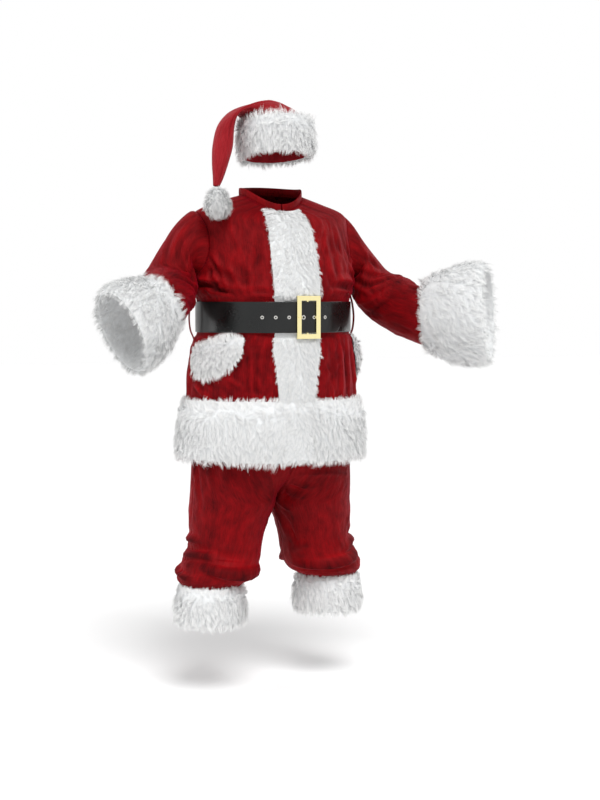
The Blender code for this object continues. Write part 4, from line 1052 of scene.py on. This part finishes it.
def hemFur():
    rows, columns = grids["hem"]
    profile = rounded(hemBand, rows)
    t = np.clip(profile[:, 0], 0, None)
    halfWidth = np.interp(t, *np.array(placketRows)[:, :2].T)
    first = np.arcsin((halfWidth - 0.016) / between(jacketRows, t)[:, 3])[:, None]
    phi = first + (2 * np.pi - 2 * first) * np.linspace(0, 1, columns)
    points = outFromJacket(phi, t[:, None], profile[:, 1][:, None])
    lay = combed(np.repeat(t[:, None] / hemBand[-1][0], phi.shape[1], axis=1))
    return fur("hem_fur", points, profile[:, 2:], lay, 101, wrapColumns=False)


def placketFur():
    (rows, columns), look = grids["placket"], placketLook
    t = np.linspace(0, placketRows[-1][0], rows)
    table = np.array(placketRows)
    height = between(jacketRows, t)[:, 1]
    fromStrap = np.abs(height - strapHeight)
    free = smooth(strapWidth / 2, strapWidth / 2 + 0.020, fromStrap)
    reach = look["pressed"] + look["fluffed"] * free
    halfWidth = np.interp(t, table[:, 0], table[:, 1])
    halfWidth = halfWidth + look["spread"] * smooth(0.075, 0.055, fromStrap) * free
    edge = np.arcsin(halfWidth / between(jacketRows, t)[:, 3])[:, None]
    share = np.sin(np.linspace(-1, 1, columns) * np.pi / 2)
    dome = np.sqrt(np.clip(1 - share**2, 0, 1))
    pile = np.minimum(look["longest"], reach * look["pileShare"])[:, None]
    overHem = look["overHem"] * smooth(2.1, 1.7, t)[:, None] * (1 - share**8)  # it lies over the hem's band
    out = np.maximum(np.maximum(reach[:, None] - 0.021, 0.0020) * (0.3 + 0.7 * dome), overHem)
    ends = smooth(0, 0.10, t) * smooth(placketRows[-1][0], placketRows[-1][0] - 0.2, t)
    points = outFromJacket(edge * share * 0.96, t[:, None], out * (0.4 + 0.6 * ends[:, None]))
    sideways = np.zeros(points.shape)
    sideways[..., 0] = share * 0.75
    pile = pile * (0.75 + 0.25 * dome)
    return fur("placket_fur", points, pile, downwards + sideways, 103, wrapColumns=False)


def pocketFur(label, side, table, seed):
    rows, columns = grids["pocket"]
    angle, top, bottom, reach = rounded(table, rows).T
    share = np.sin(np.linspace(-1, 1, columns) * np.pi / 2)
    height = (bottom + top)[:, None] / 2 + (top - bottom)[:, None] / 2 * share * 0.86
    t = np.interp(height, [row[1] for row in jacketRows], range(len(jacketRows)))
    dome = np.sqrt(np.clip(1 - share**2, 0, 1))
    edges = 1 + 0.75 * smooth(-0.25, -1.0, share) + 0.35 * smooth(0.6, 1.0, share)
    pile = np.minimum(0.019, reach * 0.6)[:, None] * (0.75 + 0.25 * dome) * edges
    out = 0.0034 + np.maximum(reach[:, None] - pile - 0.002, 0.001) * dome
    phi = side * np.radians(angle)[:, None] * np.ones(t.shape)
    points = outFromJacket(phi, t, out)
    lay = combed(np.broadcast_to((share + 1) / 2, pile.shape))
    lay[..., 0] += side * np.linspace(-1, 1, len(points))[:, None] ** 3
    return fur(f"pocket_fur_{label}", points, pile, lay, seed, wrapColumns=False, stand=0.70)


def cuffFur(label, side, profile, mouth, seed):
    end, axis = sleeves[label]
    mouthAxis = unit(np.array((side * mouth[0], mouth[1], mouth[2])))
    (rows, columns), rings = grids["cuff"], []
    fine = rounded(profile, rows, True)
    for along, halfUp, halfAcross, _ in fine:
        share = min(max(along / cuffLength, 0), 1)
        turned = unit(axis * (1 - share) + mouthAxis * share)
        rings.append(oval(end + axis * along, turned, side, halfUp, halfAcross, columns))
    mouthwards = unit(mouthAxis + downwards * 0.6)
    share = 1 - np.clip(fine[:, 0] / cuffLength, 0, 1) * 1.6
    lay = combed(np.repeat(share[:, None], columns, axis=1), mouthwards)
    return fur(f"cuff_fur_{label}", np.array(rings), fine[:, 3:], lay, seed, wrapRows=True)


def legFur(label, side, seed):
    _, centreX, stride = trouserRows[1][:3]
    rows, columns = grids["leg"]
    profile = rounded(legBand, rows, True)
    turn = 2 * np.pi * np.arange(columns)[None, :] / columns
    radius = profile[:, 0][:, None]
    points = stack(side * centreX + radius * np.cos(turn), side * stride + radius * np.sin(turn),
                   profile[:, 1][:, None] - neckHeight)
    lay = combedBand(profile[:, 1], columns)
    return fur(f"leg_fur_{label}", points, profile[:, 2:], lay, seed, wrapRows=True)


def hatFur():
    rows, columns = grids["hat"]
    profile = rounded(hatBand, rows, True)
    turn = 2 * np.pi * np.arange(columns)[None, :] / columns
    out = profile[:, 0][:, None]
    x, y = (hatHalfWidth + out) * np.cos(turn), (hatHalfDepth + out) * np.sin(turn)
    points = stack(x, hatCentreY + y, profile[:, 1][:, None] - hatTilt * y - neckHeight)
    lay = combedBand(profile[:, 1], columns)
    return fur("hat_fur", points, profile[:, 2:], lay, 131, wrapRows=True)


def hatPompom():
    rows, columns = grids["pompom"]
    polar = np.pi * np.linspace(0.02, 0.98, rows)[:, None]
    turn = 2 * np.pi * np.arange(columns)[None, :] / columns
    outwards = stack(np.sin(polar) * np.cos(turn), np.sin(polar) * np.sin(turn), -np.cos(polar))
    centre = np.array(pompomCentre) - np.array((0, 0, neckHeight))
    top = smooth(0.5, 1.0, outwards[..., 2:])  # drawn up to the tail's tip
    points = centre + outwards * pompomRadius * (0.74 + 0.25 * top)
    return fur("hat_pompom", points, pompomRadius * 0.36, downwards * 0.6, 137, stand=1.1)


for trim in (hemFur, placketFur, hatFur, hatPompom):
    trim()
report("hem, placket, hat band and pompom made")
for label, side, profile, mouth, pocket, seed in (
        ("left", 1, leftCuff, leftMouth, leftPocket, 107),
        ("right", -1, rightCuff, rightMouth, rightPocket, 109)):
    cuffFur(label, side, profile, mouth, seed)
    pocketFur(label, side, pocket, seed + 6)
    legFur(label, side, seed + 12)
report("cuffs, pockets and leg bands made")


stageLook = dict(floor="#fbfbfb", halfFloor=25, sun=2.35, sunSoft=28, side=45, sky=0.50)
cameraLook = dict(turn=22, distance=5.5, height=-0.305, yaw=0.98437, pitch=3.44148, lens=78.57)


def stageFloor():
    # Matt white paint, rolled smooth, so that only soft shadows show on it
    half = stageLook["halfFloor"]
    corners = half * np.array([(-1, -1, 0), (1, -1, 0), (1, 1, 0), (-1, 1, 0)]) - (0, 0, neckHeight)
    floor = newMesh("studio_floor", corners, [np.array([[0, 1, 2, 3]])])
    made, tree, shader = newMaterial("rolledMattPaint")
    feed(tree, shader, Base_Color=linear(stageLook["floor"]), Roughness=0.8)
    floor.data.materials.append(made)


def aimed(name, data, place, towards):
    # A light or camera put in the scene, looking along towards
    obj = bpy.data.objects.new(name, data)
    obj.location = place
    obj.rotation_euler = Vector(towards).to_track_quat("-Z", "Y").to_euler()
    bpy.context.scene.collection.objects.link(obj)
    return obj


def areaLight(name, place, target, size, power):
    data = bpy.data.lights.new(name, "AREA")
    data.shape, data.size, data.size_y, data.energy = "RECTANGLE", size[0], size[1], power
    aimed(name, data, place, Vector(target) - Vector(place))


def softSun(name, towards, strength, softness):
    data = bpy.data.lights.new(name, "SUN")
    data.energy, data.angle = strength, math.radians(softness)
    aimed(name, data, (0, 0, 0), towards)


def paleWorld():
    world = bpy.data.worlds.new("studio")
    bpy.context.scene.world = world
    world.use_nodes = True
    tree = world.node_tree
    spread = addNode(tree, "ShaderNodeLightPath").outputs["Is Diffuse Ray"]
    settings, drop = {"operation": "MULTIPLY_ADD"}, stageLook["sky"] - 1
    strength = addNode(tree, "ShaderNodeMath", settings, i0=spread, i1=drop, i2=1.0).outputs[0]
    feed(tree, tree.nodes["Background"], Strength=strength, Color=(1, 1, 1, 1))


def camera():
    turn, yaw, pitch = (math.radians(cameraLook[key]) for key in ("turn", "yaw", "pitch"))
    ahead = Vector((math.sin(turn), math.cos(turn), 0))
    right = Vector((ahead.y, -ahead.x, 0))
    data = bpy.data.cameras.new("camera")
    data.lens, data.sensor_fit, data.sensor_width, data.sensor_height = cameraLook["lens"], "VERTICAL", 27, 36
    place = -ahead * cameraLook["distance"] + Vector((0, 0, cameraLook["height"]))
    look = (ahead * math.cos(yaw) + right * math.sin(yaw)) * math.cos(pitch) - Vector((0, 0, math.sin(pitch)))
    bpy.context.scene.camera = aimed("camera", data, place, look)


stageFloor()
paleWorld()
softSun("key", (0.15, 0.75, -0.85), stageLook["sun"], stageLook["sunSoft"])
areaLight("left_side", (-4.2, 0.9, 0.8), (0, 0, -0.5), (1.6, 3.4), stageLook["side"])
areaLight("right_side", (4.2, 1.2, 0.8), (0, 0, -0.5), (1.6, 3.4), stageLook["side"])
camera()
bpy.context.scene.view_settings.view_transform = "Standard"
bpy.context.view_layer.update()
graph = bpy.context.evaluated_depsgraph_get()
counts = {node: len(obj.evaluated_get(graph).data.loop_triangles) for node, obj in madeFor.items()}
report("triangles in all", sum(counts.values()), "most in one piece", max(counts.values()))
